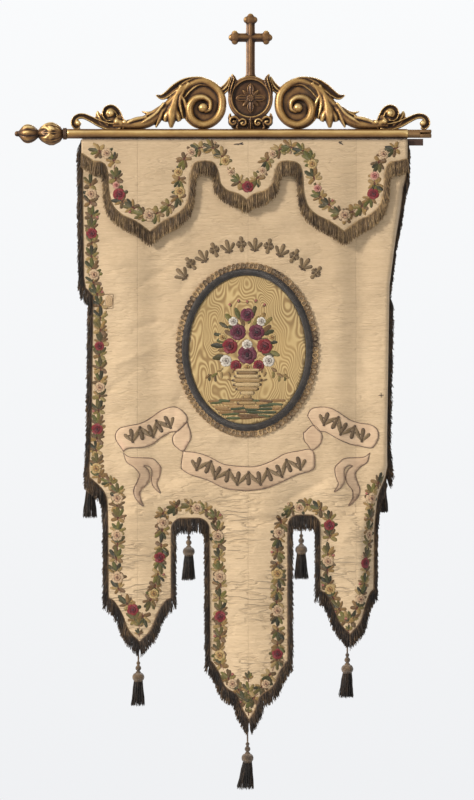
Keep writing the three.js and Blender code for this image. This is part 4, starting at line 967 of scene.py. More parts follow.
def band_of(name, lines, finish, joined=False):
    """A band through lines of points that run side by side, closed at its ends or joined into a ring."""
    points = np.array(lines).transpose(1, 0, 2).reshape(-1, 3)
    faces = tube_faces(len(lines[0]), len(lines), over=not joined, joined=joined)
    return smooth_object(name, points, faces, finish)


def bound_thread(name, pitch_map, dark, middle, light, roughness):
    """Thread wound tightly over a core; the map's first column runs along it, in metres."""
    finish, shader = new_finish(name, roughness, sheen=0.3, specular=0.4)
    run = wire(finish, "ShaderNodeUVMap", {}, uv_map="thread")
    along = part_of(run, 0)
    place = wire(finish, "ShaderNodeTexCoord", {}, output=3)
    winding = waves(along, 2 * pi / pitch_map)
    worn = spots(place, 38, detail=5, roughness=0.7)
    tone = shades(sums("MULTIPLY_ADD", winding, 0.16, worn), [(0.3, dark), (0.52, middle), (0.74, light)])
    glint = shades(spots(place, 420, detail=2), [(0.6, (0, 0, 0)), (0.74, (0.5,) * 3)])
    paint(shader, blended(glint, tone, (*light, 1)))
    raised(shader, winding, 0.0004, 0.8)
    return finish


cord_finish = bound_thread("tarnished_wrapped_cord", 0.0011, dye(18, 13, 10), dye(38, 30, 23), dye(76, 65, 54), 0.42)
WRAPS = 330
wrap_steps = WRAPS * 4
cord_lines = []
CORD_SECTION = [
    (1, 0), (0.99, 0.45), (0.86, 0.8), (0.66, 0.97), (0.5, 1.0), (0.34, 0.97), (0.14, 0.8), (0.01, 0.45), (0, 0),
]
for across, tall in CORD_SECTION:
    swell = 0.55 * np.abs(np.sin(np.pi * (np.arange(wrap_steps) / 4 + across * 0.9)))
    swell = swell if tall else np.zeros(wrap_steps)
    angle = np.linspace(0, 2 * np.pi, wrap_steps, endpoint=False)
    out = across * OVAL["cord"] + (across - 0.5) * swell
    x = OVAL["x"] + (OVAL["across"] + 1 + out) * np.cos(angle)
    z = OVAL["z"] + (OVAL["up"] + 1 + out) * np.sin(angle)
    cord_lines.append(hung(x, z, OVAL["behind"] + tall * (OVAL["cord_depth"] - 0.8 + swell)))
wrapped_cord = band_of("wrapped_cord", cord_lines, cord_finish, joined=True)
round_length = 1.32 / wrap_steps
cord_map = [(i * round_length, j / 1000) for i in range(wrap_steps) for j in range(len(CORD_SECTION))]
lay_map(wrapped_cord, cord_map, "thread")
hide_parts("oval_cord_ring")
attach(wrapped_cord, "root")


# Looped braid. A tarnished gilt braid of small overlapping loops lies round the cord. Every row of like pieces
# on the banner, such as these loops, stitches and threads, is set out by the same small tree of nodes.
def sewn_row_tree():
    tree = bpy.data.node_groups.new("sewn_row", "GeometryNodeTree")
    for name, kind in (("Places", "Geometry"), ("Thread", "Object"), ("Finish", "Material"), ("Sway", "Float"),
                       ("Spin", "Float"), ("Uneven", "Float"), ("Seed", "Int")):
        tree.interface.new_socket(name, in_out="INPUT", socket_type="NodeSocket" + kind)
    tree.interface.new_socket("Row", in_out="OUTPUT", socket_type="NodeSocketGeometry")
    given = tree.nodes.new("NodeGroupInput").outputs
    turn, stretch = (wire(tree, "GeometryNodeInputNamedAttribute", {"Name": name}, "Attribute",
                          data_type="FLOAT_VECTOR") for name in ("turn", "stretch"))
    any_way = wire(tree, "FunctionNodeRandomValue", {"Min": (-1, -1, -1), "Seed": given["Seed"]},
                   data_type="FLOAT_VECTOR")
    limits = wire(tree, "ShaderNodeCombineXYZ", {"X": given["Sway"], "Y": given["Sway"], "Z": given["Spin"]})
    sway = wire(tree, "ShaderNodeVectorMath", {0: any_way, 1: limits}, operation="MULTIPLY")
    turn, sway = (wire(tree, "FunctionNodeEulerToRotation", {"Euler": angles}) for angles in (turn, sway))
    turned = wire(tree, "FunctionNodeRotateRotation", {"Rotation": turn, "Rotate By": sway}, rotation_space="LOCAL")
    next_seed = wire(tree, "ShaderNodeMath", {0: given["Seed"], 1: 7}, operation="ADD")
    luck = wire(tree, "FunctionNodeRandomValue", {2: -1, 3: 1, "Seed": next_seed}, 1, data_type="FLOAT")
    longer = wire(tree, "ShaderNodeMath", {0: luck, 1: given["Uneven"], 2: 1}, operation="MULTIPLY_ADD")
    longer = wire(tree, "ShaderNodeCombineXYZ", {"X": 1, "Y": 1, "Z": longer})
    size = wire(tree, "ShaderNodeVectorMath", {0: stretch, 1: longer}, operation="MULTIPLY")
    thread = wire(tree, "GeometryNodeObjectInfo", {"Object": given["Thread"]}, "Geometry")
    row = wire(tree, "GeometryNodeInstanceOnPoints",
               {"Points": given["Places"], "Instance": thread, "Rotation": turned, "Scale": size})
    row = wire(tree, "GeometryNodeStoreNamedAttribute", {"Geometry": row, "Name": "tone", "Value": luck},
               data_type="FLOAT", domain="INSTANCE")
    row = wire(tree, "GeometryNodeRealizeInstances", {"Geometry": row})
    row = wire(tree, "GeometryNodeSetMaterial", {"Geometry": row, "Material": given["Finish"]})
    tree.links.new(row, tree.nodes.new("NodeGroupOutput").inputs["Row"])
    return tree


SEWN_ROW = sewn_row_tree()


def plain_copy(rough, name):
    """The shape that a rough piece's modifiers give it, as a plain piece; the rough one goes."""
    depsgraph = bpy.context.evaluated_depsgraph_get()
    mesh = bpy.data.meshes.new_from_object(rough.evaluated_get(depsgraph), depsgraph=depsgraph)
    bpy.data.objects.remove(rough)
    mesh.name = name
    return new_object(name, mesh)


def sew_row(name, thread, finish, places, turns, stretches, sway=0.0, spin=0.0, uneven=0.0, seed=1):
    """Sets a thread at every place, turned and stretched as given there, and returns them as one plain piece."""
    mesh = bpy.data.meshes.new(name + "_places")
    mesh.from_pydata([tuple(place) for place in places], [], [])
    for key, values in (("turn", turns), ("stretch", stretches)):
        kept = mesh.attributes.new(key, "FLOAT_VECTOR", "POINT")
        kept.data.foreach_set("vector", np.asarray(values, np.float32).ravel())
    holder = new_object(name + "_places", mesh)
    row = holder.modifiers.new("row", "NODES")
    row.node_group = SEWN_ROW
    given = {"Thread": thread, "Finish": finish, "Sway": sway, "Spin": spin, "Uneven": uneven, "Seed": seed}
    for socket in SEWN_ROW.interface.items_tree:
        if socket.in_out == "INPUT" and socket.name in given:
            row[socket.identifier] = given[socket.name]
    return plain_copy(holder, name)


def frame_turn(across, ahead, up):
    """Turns a piece so that its X, Y and Z run along these three directions."""
    return Matrix((across, ahead, up)).transposed().to_euler()[:]


def ring_piece(name, radius_x, radius_z, thick, steps=12, sides=4):
    points = [((radius_x + thick * out) * x, thick * ahead, (radius_z + thick * out) * z)
              for x, z in circle(steps) for out, ahead in circle(sides, 0.5)]
    return smooth_object(name, points, tube_faces(steps, sides, over=True, joined=True))


def thread_on_rows(name, dark, middle, light, roughness, sheen=0.3, fineness=240):
    """Finish for rows of threads: each has its own tone, with worn and dusty places between them."""
    finish, shader = new_finish(name, roughness, sheen=sheen, specular=0.35)
    tone = wire(finish, "ShaderNodeAttribute", {}, output=2, attribute_name="tone")
    place = wire(finish, "ShaderNodeTexCoord", {}, output=3)
    worn = spots(place, 22, detail=5, roughness=0.7)
    mixed = sums("MULTIPLY_ADD", tone, 0.16, worn)
    colour = shades(mixed, [(0.28, dark), (0.52, middle), (0.78, light)])
    fine = spots(place, fineness, detail=3, stretch=(1, 1, 0.35))
    colour = blended(1.0, colour, shades(fine, [(0.3, (0.72,) * 3), (0.7, (1.2,) * 3)]), "MULTIPLY")
    paint(shader, colour)
    raised(shader, fine, 0.0006, 0.6)
    return finish


braid_finish = thread_on_rows("tarnished_gilt_braid", dye(62, 44, 28), dye(128, 100, 66), dye(182, 150, 104), 0.5, 0.1)
LOOPS = 48
BACKWARD = Vector((0, 1, 0))
LOOPS_OUT = 29.5
around = oval_line(LOOPS_OUT, LOOPS * 2)
loop_points, loop_turns = [], []
for layer, ahead in enumerate((3.2, 4.0)):
    for i in range(layer, LOOPS * 2, 2):
        before, after = around[i - 1], around[(i + 1) % len(around)]
        along = Vector((after[0] - before[0], 0, after[1] - before[1])).normalized()
        loop_points.append(hung(*around[i], ahead))
        loop_turns.append(frame_turn(along, BACKWARD, along.cross(BACKWARD)))
loop = ring_piece("braid_loop", 0.0066, 0.009, 0.0026)
loops = sew_row("braid_loops", loop, braid_finish, loop_points, loop_turns, [(1, 1, 1)] * len(loop_points),
                0.1, 0.06, 0.05, 5)
bpy.data.objects.remove(loop)
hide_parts("oval_looped_braid")
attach(loops, "root")
braid_lines = []
BRAID_STEPS = 496
for across, tall in ((21.2, 0.0), (21.6, 2.0), (23.5, 2.6), (26.0, 1.8), (27.0, 0.0)):
    swell = 0.8 * np.abs(np.sin(np.pi * (np.arange(BRAID_STEPS) / 4 + across * 0.12))) if tall else 0
    places = oval_line(across, BRAID_STEPS)
    braid_lines.append(hung(places[:, 0], places[:, 1], OVAL["behind"] - 0.9 + tall * 0.7 + swell))
braid_ground = band_of("braid_ground", braid_lines, braid_finish, joined=True)
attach(braid_ground, "root")


# Stem stitch. A line of slanting stitches in brown thread runs round every part of the ribbon.
def spindle(name, radius, sides=4):
    """A short stitch of unit length along Z, thickest in its middle."""
    points = [(0, 0, -0.5)]
    for z, share in ((-0.28, 0.8), (0.0, 1.0), (0.28, 0.8)):
        points += [(radius * share * x, radius * share * y, z) for x, y in circle(sides)]
    points.append((0, 0, 0.5))
    faces = tube_faces(3, sides, first=1)[:-2]
    top = 1 + 2 * sides
    for k in range(sides):
        n = (k + 1) % sides
        faces += [(0, 1 + n, 1 + k), (top + k, top + n, len(points) - 1)]
    return smooth_object(name, points, faces)


stitch_thread = thread_on_rows("brown_stem_thread", dye(66, 46, 34), dye(104, 76, 56), dye(140, 106, 80), 0.55)
stitch = spindle("stem_stitch", 0.001)
stitch_places, stitch_turns = [], []
for closed, lift in ribbon_edges:
    stops = even_steps(np.vstack([closed, closed[:1]]), 3.0)[:-1]
    ahead = np.roll(stops, -1, axis=0) - stops
    points = hung(stops[:, 0], stops[:, 1], CLOTH_FRONT + lift + 0.3)
    for point, (dx, dz) in zip(points, ahead):
        along = Vector((dx, 0, dz)).normalized()
        along.rotate(Matrix.Rotation(radians(12), 3, "Y"))
        stitch_places.append(point)
        stitch_turns.append(frame_turn((-BACKWARD).cross(along), -BACKWARD, along))
ribbon_stitches = sew_row("ribbon_stem_stitch", stitch, stitch_thread, stitch_places, stitch_turns,
                          [(1, 1, 0.0054)] * len(stitch_places), 0.0, 0.0, 0.1, 9)
bpy.data.objects.remove(stitch)
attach(ribbon_stitches, "root")


# Mends and marks. A darned tab beside the left garland, two snags with dark thread in the valance, and a small
# cross stitch near the right edge. A row of thick dark stitches along the top edges of cloth and valance is painted
# shadow: it stands for the shadow under the rod.
TAB = {"x": -436, "z": -608, "wide": 25, "tall": 40, "stitch": 5}
TAB_SIDES = [(-437, -588, -411, -587), (-411, -587, -412, -628), (-412, -628, -437, -629)]
CROSS_STITCH = np.array([391, -889])
CROSS_ARM = 9
SNAGS = [(-52, -139, 4, 22), (-40, -141, 24, 20), (-34, -137, -8, 14), (265, -129, -70, 10), (262, -133, 10, 13),
         (269, -135, -30, 9)]
# Painted shadow under the rod: where the dark stitches along the top edge start, their height, how many and how far
# apart.
SHADOW_STITCH_ROW = {"start": -503, "z": -121.6, "stitches": 88, "step": 11}
marks_work, snag_work, shadow_stitch_work = new_work(), new_work(), new_work()
pad(marks_work, TAB["x"], TAB["z"], 0, TAB["wide"], TAB["tall"], 0.9, dye(198, 168, 128), "stroke")
for from_x, from_z, to_x, to_z in TAB_SIDES:
    heading = degrees(atan2(to_z - from_z, to_x - from_x)) + 12
    steps = int(hypot(to_x - from_x, to_z - from_z) // TAB["stitch"])
    for k in range(steps):
        x, z = from_x + (to_x - from_x) * k / steps, from_z + (to_z - from_z) * k / steps
        pad(marks_work, x, z, heading, 5.2, 1.6, 1.0, dye(140, 106, 66), "stroke", 0.8)
for lean in (2, 91):
    turn = radians(lean)
    end = CROSS_STITCH - CROSS_ARM * np.array([cos(turn), sin(turn)])
    pad(marks_work, *end, lean, 2 * CROSS_ARM, 2.4, 1.0, dye(66, 50, 38), "stroke")
for x, z, heading, length in SNAGS:
    pad(snag_work, x, z, heading, length, 4.2, 0.9, dye(50, 38, 30), "stroke")
# Dark stitches along the top edge, as painted shadow under the rod.
for k in range(SHADOW_STITCH_ROW["stitches"]):
    x, z = SHADOW_STITCH_ROW["start"] + SHADOW_STITCH_ROW["step"] * k, SHADOW_STITCH_ROW["z"] + 0.3 * sin(2.1 * k)
    pad(shadow_stitch_work, x, z, 3 * sin(1.3 * k), 14, 4.7, 1.3, dye(52, 36, 24), "stroke")
mends = sewn("mends_on_cloth", marks_work, embroidery, CLOTH_FRONT)
shadow_stitches_under_rod = sewn("whipped_top_edge", shadow_stitch_work, embroidery, VALANCE_FRONT, False)
snags = sewn("snags_in_valance", snag_work, embroidery, VALANCE_FRONT, False)


# Fringes. Cut thread fringe hangs from a narrow woven heading that is sewn along every edge: dark brown round the
# cloth, faded olive under the valance. Both are set out along the same edges that the cloth is cut to.
FRINGE = {"drop": 41, "side_drop": 36, "forward": 9, "splay": 0.31, "pitch": 1.25}
# On the curled side: how far the fringe flares aside at its foot, in millimetres, and its splay.
CURLED_SIDE = 15, 0.14
HEADING = {"inside": 3.2, "outside": 1.8, "tall": 2.4, "pitch": 4.2, "step": 1.3}


def edge_walk(edge, step):
    """Places at even steps along an edge, with the outward side of each; the cloth is on the walk's left."""
    stops = even_steps(edge, step)
    walk = np.gradient(stops, axis=0)
    walk /= np.linalg.norm(walk, axis=1, keepdims=True)
    return stops, np.stack([walk[:, 1], -walk[:, 0]], axis=1)


def hanging_thread(name, radius, bend):
    """A thread of unit length down -Z, with a slight bend and a drawn-out end."""
    rows = [(0.0, 1.0, 0.0), (0.3, 1.0, 0.7), (0.65, 0.9, -0.5), (0.95, 0.75, 0.8)]
    points = [(radius * thick * x + bend * aside, radius * thick * y, -down)
              for down, thick, aside in rows for x, y in circle(3)]
    points.append((bend * 1.1, 0, -1.0))
    faces = tube_faces(len(rows), 3, over=True)[:-1]
    last = (len(rows) - 1) * 3
    faces += [(last + k, len(points) - 1, last + (k + 1) % 3) for k in range(3)]
    return smooth_object(name, points, faces)


def fringe_rows(edge, front, flare, splay, curled):
    """Roots, turns and lengths of the threads along an edge, in two layers."""
    places, turns, stretches = [], [], []
    for layer, (ahead, shift) in enumerate(((front + 2.0, 0.4), (front + 0.6, 1.2))):
        stops, side = edge_walk(edge, FRINGE["pitch"])
        stops, side = stops[layer % 2:], side[layer % 2:]
        roots = hung(*(stops + side * shift).T, ahead, curled)
        inner = hung(*(stops - side * 2).T, ahead, curled)
        facing = roots - inner
        facing[:, 2] = 0
        facing /= np.maximum(np.linalg.norm(facing, axis=1, keepdims=True), 1e-6)
        sideways = side[:, 0] ** 2
        drop = FRINGE["drop"] + (FRINGE["side_drop"] - FRINGE["drop"]) * sideways
        aside = np.interp(-stops[:, 1], [420, 640], [0, flare])
        fall = np.stack([aside, -FRINGE["forward"] * (1 - sideways), -drop], axis=1)
        fall += facing * (splay * drop * np.abs(side[:, 0]) ** 4)[:, None]
        length = np.linalg.norm(fall, axis=1)
        for root, down, size in zip(roots, fall / length[:, None], length):
            up = Vector(-down)
            across = Vector((1, 0.001, 0)).cross(up).cross(up).normalized()
            places.append(root)
            turns.append(frame_turn(across, up.cross(across), up))
            stretches.append((1, 1, size / 1000))
    return places, turns, stretches


def heading_band(name, edge, front, curled, finish):
    """The woven heading as a low ridged band along an edge."""
    stops, side = edge_walk(edge, HEADING["step"])
    run = np.arange(len(stops)) * HEADING["step"]
    lines = []
    for across, tall in ((0.0, 0.0), (0.12, 0.75), (0.5, 1.0), (0.88, 0.75), (1.0, 0.0)):
        swell = 0.35 * np.abs(np.sin(np.pi * (run / HEADING["pitch"] + across * 0.9))) if tall else 0
        places = stops + side * (across * (HEADING["inside"] + HEADING["outside"]) - HEADING["inside"])
        lines.append(hung(*places.T, front - 0.3 + HEADING["tall"] * tall * (0.85 + swell), curled))
    return band_of(name, lines, finish)


dark_threads = thread_on_rows("dark_fringe_thread", dye(22, 16, 11), dye(48, 36, 25), dye(98, 75, 49), 0.66, 0.06)
pale_threads = thread_on_rows("faded_fringe_thread", dye(60, 45, 28), dye(103, 80, 52), dye(156, 128, 86), 0.62, 0.08)
dark_heading = thread_on_rows("dark_heading_braid", dye(52, 38, 26), dye(88, 66, 44), dye(136, 106, 68), 0.55, 0.08)
pale_heading = thread_on_rows("faded_heading_braid", dye(88, 68, 44), dye(134, 108, 72), dye(178, 150, 104), 0.55, 0.08)
fringe_thread = hanging_thread("fringe_thread", 0.00138, 0.0013)
fringe_pieces = {}
for seed, name in enumerate(EDGES):
    on_valance = name == "valance"
    front = VALANCE_FRONT if on_valance else CLOTH_FRONT
    flare, splay = CURLED_SIDE if name == "side_right" else (0, FRINGE["splay"])
    rows = fringe_rows(EDGES[name], front, flare, splay, not on_valance)
    threads = sew_row("fringe_threads_" + name, fringe_thread, pale_threads if on_valance else dark_threads, *rows,
                      sway=0.085, spin=pi, uneven=0.16, seed=20 + seed)
    band = heading_band("fringe_heading_" + name, EDGES[name], front, not on_valance,
                        pale_heading if on_valance else dark_heading)
    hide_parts("fringe_" + name)
    for piece in (threads, band):
        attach(piece, "root")
    fringe_pieces[name] = [threads, band]
bpy.data.objects.remove(fringe_thread)

on_the_cloth = [cloth_garlands, ribbon, ribbon_sprigs, ribbon_stitches, arch_ornaments, mends]
for name in EDGES:
    on_the_cloth += fringe_pieces[name] if name != "valance" else []


# Tassels. Each hangs on a twisted cord: a bead and a head of wood bound with thread, the head in a diamond net,
# and a skirt of cut threads.
# For each: its x, how far behind the cloth, where its cord starts, where its head and its foot are, how wide its cap
# and its skirt, and how far the skirt swings aside, in millimetres.
TASSELS = {
    "left_tip": (-336, 5, -1619, -1718, -1821, 16, 21, -2),
    "left_notch": (-185, 6, -1250, -1342, -1446, 16, 20, -2),
    "centre_tip": (-9, 3, -1857, -1960, -2070, 16, 25, -7),
    "right_notch": (152, 10, -1240, -1337, -1443, 16, 21, 0),
    "right_tip": (290, 8, -1600, -1694, -1797, 16, 22, -3),
    "left_shoulder": (-482, 28, -1120, -1150, -1260, 15, 21, 0),
    "right_shoulder": (398, 68, -1110, -1146, -1246, 15, 18, 0),
}
TASSEL_SIDES = 36
tassel_head = bound_thread("tassel_binding_thread", 0.0012, dye(44, 33, 22), dye(92, 70, 46), dye(142, 112, 72), 0.55)
tassel_threads = thread_on_rows("tassel_skirt_thread", dye(14, 10, 6), dye(31, 22, 14), dye(66, 48, 29), 0.66, 0.05)


def tassel_profile(start, head, cap):
    """Radius, height and covering of a tassel down its axis, in millimetres."""
    rows = []
    cord_foot = head + 33
    if start > cord_foot:
        for z in np.linspace(start, cord_foot, max(3, int((start - cord_foot) / 1.6))):
            rows.append((2.0, z, "cord"))
    for reach, middle, high, low in ((5.8, head + 27, 0.4, 0.7), (8.6, head + 12, 0.5, 0.5)):
        for turn in np.linspace(high, pi - low, 8):
            rows.append((reach * sin(turn), middle + reach * cos(turn), "bound"))
    rows += [(5.0, head + 3.0, "bound"), (7.4, head + 1.0, "bound"), (7.6, head - 1.0, "bound")]
    for turn in np.linspace(0.5, 2.35, 14):
        rows.append((cap * 1.06 * sin(turn), head - 15 + 15 * cos(turn), "net"))
    rows += [(cap * 0.84, head - 26.5, "bound"), (cap * 0.84, head - 28, "bound"), (cap * 0.7, head - 29, "bound")]
    return rows


for seed, (name, row) in enumerate(TASSELS.items()):
    x, behind, start, head, foot, cap, skirt_radius, swing = row
    axis = np.array([x, CLOTH["plane"] + behind])
    profile = tassel_profile(start, head, cap)
    points, run = [], []
    round_turn = np.linspace(0, 2 * np.pi, TASSEL_SIDES, endpoint=False)
    for radius, z, kind in profile:
        if kind == "cord":
            reach = radius * (1 + 0.34 * np.abs(np.sin(round_turn + z * 0.62)))
        elif kind == "net":
            crossing = [np.abs(np.sin(6 * round_turn + way * z * 0.3)) for way in (1, -1)]
            reach = radius + 1.5 * np.maximum(*crossing) ** 6
        else:
            reach = radius + 0.25 * np.sin(12 * round_turn + z)
        for angle, out in zip(round_turn, reach):
            points.append((axis[0] + out * cos(angle), axis[1] + out * sin(angle), z))
            run.append((z / 1000, angle / 100))
    faces = tube_faces(len(profile), TASSEL_SIDES, over=True)
    head_piece = smooth_object("tassel_head_" + name, np.array(points) / 1000, faces, tassel_head)
    lay_map(head_piece, run, "thread")

    places, turns, stretches = [], [], []
    for ring_radius, count in ((0.76, 46), (0.58, 34), (0.38, 20)):
        for k in range(count):
            angle = 2 * pi * (k + 0.31 * seed) / count
            out = np.array([cos(angle), sin(angle)])
            root = Vector((*(axis + out * cap * ring_radius), head - 25))
            end = Vector((*(axis + out * (skirt_radius - 1.0) * (ring_radius / 0.76) + (swing, 0)), foot + 4))
            up = (root - end).normalized()
            across = Vector((-sin(angle), cos(angle), 0)).cross(up).normalized()
            places.append(root / 1000)
            turns.append(frame_turn(across, up.cross(across), up))
            stretches.append((1, 1, (root - end).length / 1000))
    skirt_thread = hanging_thread("skirt_thread", 0.00135, 0.0012)
    skirt = sew_row("tassel_skirt_" + name, skirt_thread, tassel_threads, places, turns, stretches,
                    sway=0.035, spin=pi, uneven=0.045, seed=60 + seed)
    bpy.data.objects.remove(skirt_thread)
    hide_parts("tassel_" + name)
    for piece in (head_piece, skirt):
        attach(piece, "root")


# Crest. Carved limewood, gilt over a dark ground: on each side of a round medallion a big volute under a fluted
# acanthus leaf, running out into a snail scroll and a small end scroll. The gilding is rubbed bright on the ridges
# and gone brown in the hollows.
GOLD_STEPS = [(0, dye(44, 28, 17)), (0.2, dye(86, 58, 34)), (0.45, dye(132, 97, 56)), (0.75, dye(178, 140, 82)),
              (1, dye(226, 194, 132))]


def gilt_finish(name, low, high, streak=(1, 1, 1), upward=0.2, painted_top_shade=0.0, bare_back=1.0):
    """Worn gilding, bright on the ridges, with painted light: faces that look up are painted lighter, and the very top
    can be painted darker as painted shade.
    Faces that look straight back, to the wall, are bare wood.
    """
    finish, shader = new_finish(name, 0.36, metallic=0.62, specular=0.5)
    shader.inputs["Coat Weight"].default_value = 0.15
    shader.inputs["Coat Roughness"].default_value = 0.3
    wear = wire(finish, "ShaderNodeAttribute", {}, output=2, attribute_name="wear")
    place = wire(finish, "ShaderNodeTexCoord", {}, output=3)
    normal = wire(finish, "ShaderNodeNewGeometry", {}, output=1)
    facing = part_of(normal, 2)
    backward = part_of(normal, 1)
    bare = ranged(backward, 0.78, 0.94, 0, bare_back)
    rub = spots(place, 30, detail=6, stretch=streak, roughness=0.7)
    fine = spots(place, 160, detail=4, stretch=streak, roughness=0.7)
    # Painted light from above: the more a face looks up, the lighter its gold is painted.
    tone = sums("MULTIPLY_ADD", facing, upward, wear)
    tone = sums("MULTIPLY_ADD", sums("SUBTRACT", rub, 0.5), 0.5, tone)
    tone = sums("MULTIPLY_ADD", sums("SUBTRACT", fine, 0.5), 0.22, tone)
    # Painted shade on the very top: faces that look almost straight up are painted darker again.
    crown = ranged(facing, 0.42, 0.86, 0, painted_top_shade)
    tone = sums("SUBTRACT", tone, crown)
    gold = shades(tone, [(low + share * (high - low), colour) for share, colour in GOLD_STEPS])
    dust = shades(spots(place, 9, detail=5, roughness=0.7), [(0.55, (0, 0, 0)), (0.75, (0.4,) * 3)])
    gold = blended(dust, gold, (*dye(112, 92, 70), 1))
    saw_marks = spots(place, 1.0, detail=5, stretch=(24, 10, 210), roughness=0.6)
    wood = shades(saw_marks, [(0.32, dye(72, 52, 34)), (0.52, dye(112, 84, 56)), (0.72, dye(142, 112, 78))])
    paint(shader, blended(bare, gold, wood))
    metal = ranged(bare, 0, 1, 0.62, 0.0)
    paint(shader, metal, "Metallic")
    matt = ranged(tone, low, high, 0.66, 0.37)
    paint(shader, matt, "Roughness")
    raised(shader, sums("MULTIPLY_ADD", fine, 0.6, rub), 0.0008, 0.5)
    return finish


def mark_wear(piece, rounds=26, scale=0.0018):
    """Keeps, for each point, how far it stands out from the smoothed shape round it: 1 on a ridge, 0 in a hollow."""
    mesh = piece.data
    count = len(mesh.vertices)
    points = column(mesh.vertices, "co").astype(float)
    normals = column(mesh.vertices, "normal")
    one, other = column(mesh.edges, "vertices", 2, np.int32).T
    number = np.maximum(np.bincount(one, minlength=count) + np.bincount(other, minlength=count), 1)
    smoothed = points.copy()
    for _ in range(rounds):
        around = np.stack([np.bincount(one, smoothed[other, k], count) + np.bincount(other, smoothed[one, k], count)
                           for k in range(3)], axis=1)
        smoothed = 0.4 * smoothed + 0.6 * around / number[:, None]
    stands = ((points - smoothed) * normals).sum(axis=1)
    wear = np.clip(0.5 + 0.5 * stands / scale, 0, 1)
    mesh.attributes.new("wear", "FLOAT", "POINT").data.foreach_set("value", wear.astype(np.float32))


# Half of each carved section, from its edge to its middle: how far aside and how far forward.
CARVED = {
    "tube": [(1, 0), (0.94, 0.4), (0.74, 0.74), (0.4, 0.94), (0, 1)],
    "fluted": [(1, 0), (0.97, 0.6), (0.82, 0.86), (0.55, 0.6), (0.26, 0.8), (0, 1)],
    "hollow": [(1, 0), (0.97, 0.72), (0.78, 1.0), (0.5, 0.7), (0, 0.52)],
    "peaked": [(1, 0), (1, 0.5), (0.62, 0.66), (0.34, 0.92), (0, 1)],
}
CARVED = {name: [(-side, front) for side, front in half] + half[-2::-1] for name, half in CARVED.items()}


def add_tube(body, rings, way=1):
    """Adds a closed tube through rings of points, in millimetres; way -1 turns its faces over."""
    first = len(body["points"])
    body["points"] += [tuple(value / 1000 for value in point) for ring in rings for point in ring]
    body["faces"] += [face[::way] for face in tube_faces(len(rings), len(rings[0]), first)]


def carved_stroke(body, rows, section="tube", direction=1, behind=0.0):
    """Adds one carved stroke: a smooth line with a half width and a depth, flat at the back."""
    line = fine_spline(rows)
    walk = np.gradient(line[:, :2], axis=0)
    walk /= np.maximum(np.linalg.norm(walk, axis=1, keepdims=True), 1e-9)
    add_tube(body, [[(direction * (out - dz * half * side), behind - max(depth, 0.5) * front, z + dx * half * side)
                     for side, front in CARVED[section]] for (out, z, half, depth), (dx, dz) in zip(line, walk)],
             direction)


def carved_boss(body, x, z, radius, depth, dome=1.0, behind=0.0, sides=24):
    """Adds a round boss with a domed front."""
    rows = [(radius, 0.0)]
    for turn in np.linspace(0, pi / 2, 7)[:-1]:
        rows.append((radius * cos(turn), depth * (1 - dome) + depth * dome * sin(turn)))
    add_tube(body, [[(x + reach * across, behind - front, z + reach * up) for across, up in circle(sides)]
                    for reach, front in rows])
    rim = body["faces"].pop()
    tip = len(body["points"])
    body["points"].append((x / 1000, (behind - depth) / 1000, z / 1000))
    body["faces"] += [(rim[k], rim[(k + 1) % sides], tip) for k in range(sides)]


def carve(name, body, finish, grain, fit=None, soften=2):
    """Runs the strokes together as one carved piece, and fits it to its neighbours."""
    rough = smooth_object(name + "_rough", body["points"], body["faces"], finish)
    blend = rough.modifiers.new("carving", "REMESH")
    blend.mode = "VOXEL"
    blend.voxel_size = grain / 1000
    blend.use_smooth_shade = True
    soft = rough.modifiers.new("gesso", "SMOOTH")
    soft.factor = 0.5
    soft.iterations = soften
    made = plain_copy(rough, name)
    mesh = made.data
    mesh.materials.clear()
    mesh.materials.append(finish)
    mark_wear(made)
    if fit:
        points = fit(column(mesh.vertices, "co").astype(float) * 1000) / 1000
        mesh.vertices.foreach_set("co", points.astype(np.float32).ravel())
        mesh.update()
    mesh.shade_smooth()
    return made


ROD = {"radius": 14.5, "y": -15, "z": -106, "left": -549, "right": 470}
MEDALLION = {"radius": 67.5, "face_depth": 15}
GAP = 0.4


def clear_of_rod(points):
    """Flattens the back and keeps the carving off the rod."""
    points[:, 1] = np.where(points[:, 1] > -0.9, 0, points[:, 1])
    off = points[:, 1:] - (ROD["y"], ROD["z"])
    reach = np.linalg.norm(off, axis=1)
    room = ROD["radius"] + GAP
    pushed = np.array([ROD["y"], ROD["z"]]) + off * (room / np.maximum(reach, 1e-6))[:, None]
    points[:, 1:] = np.where((reach < room)[:, None], pushed, points[:, 1:])
    points[:, 1] = np.minimum(points[:, 1], 0)
    return points


def clear_of_medallion(points):
    points = clear_of_rod(points)
    reach = np.linalg.norm(points[:, [0, 2]], axis=1)
    room = MEDALLION["radius"] + GAP
    grow = np.where(reach < room, room / np.maximum(reach, 1e-6), 1)
    points[:, [0, 2]] *= grow[:, None]
    return points


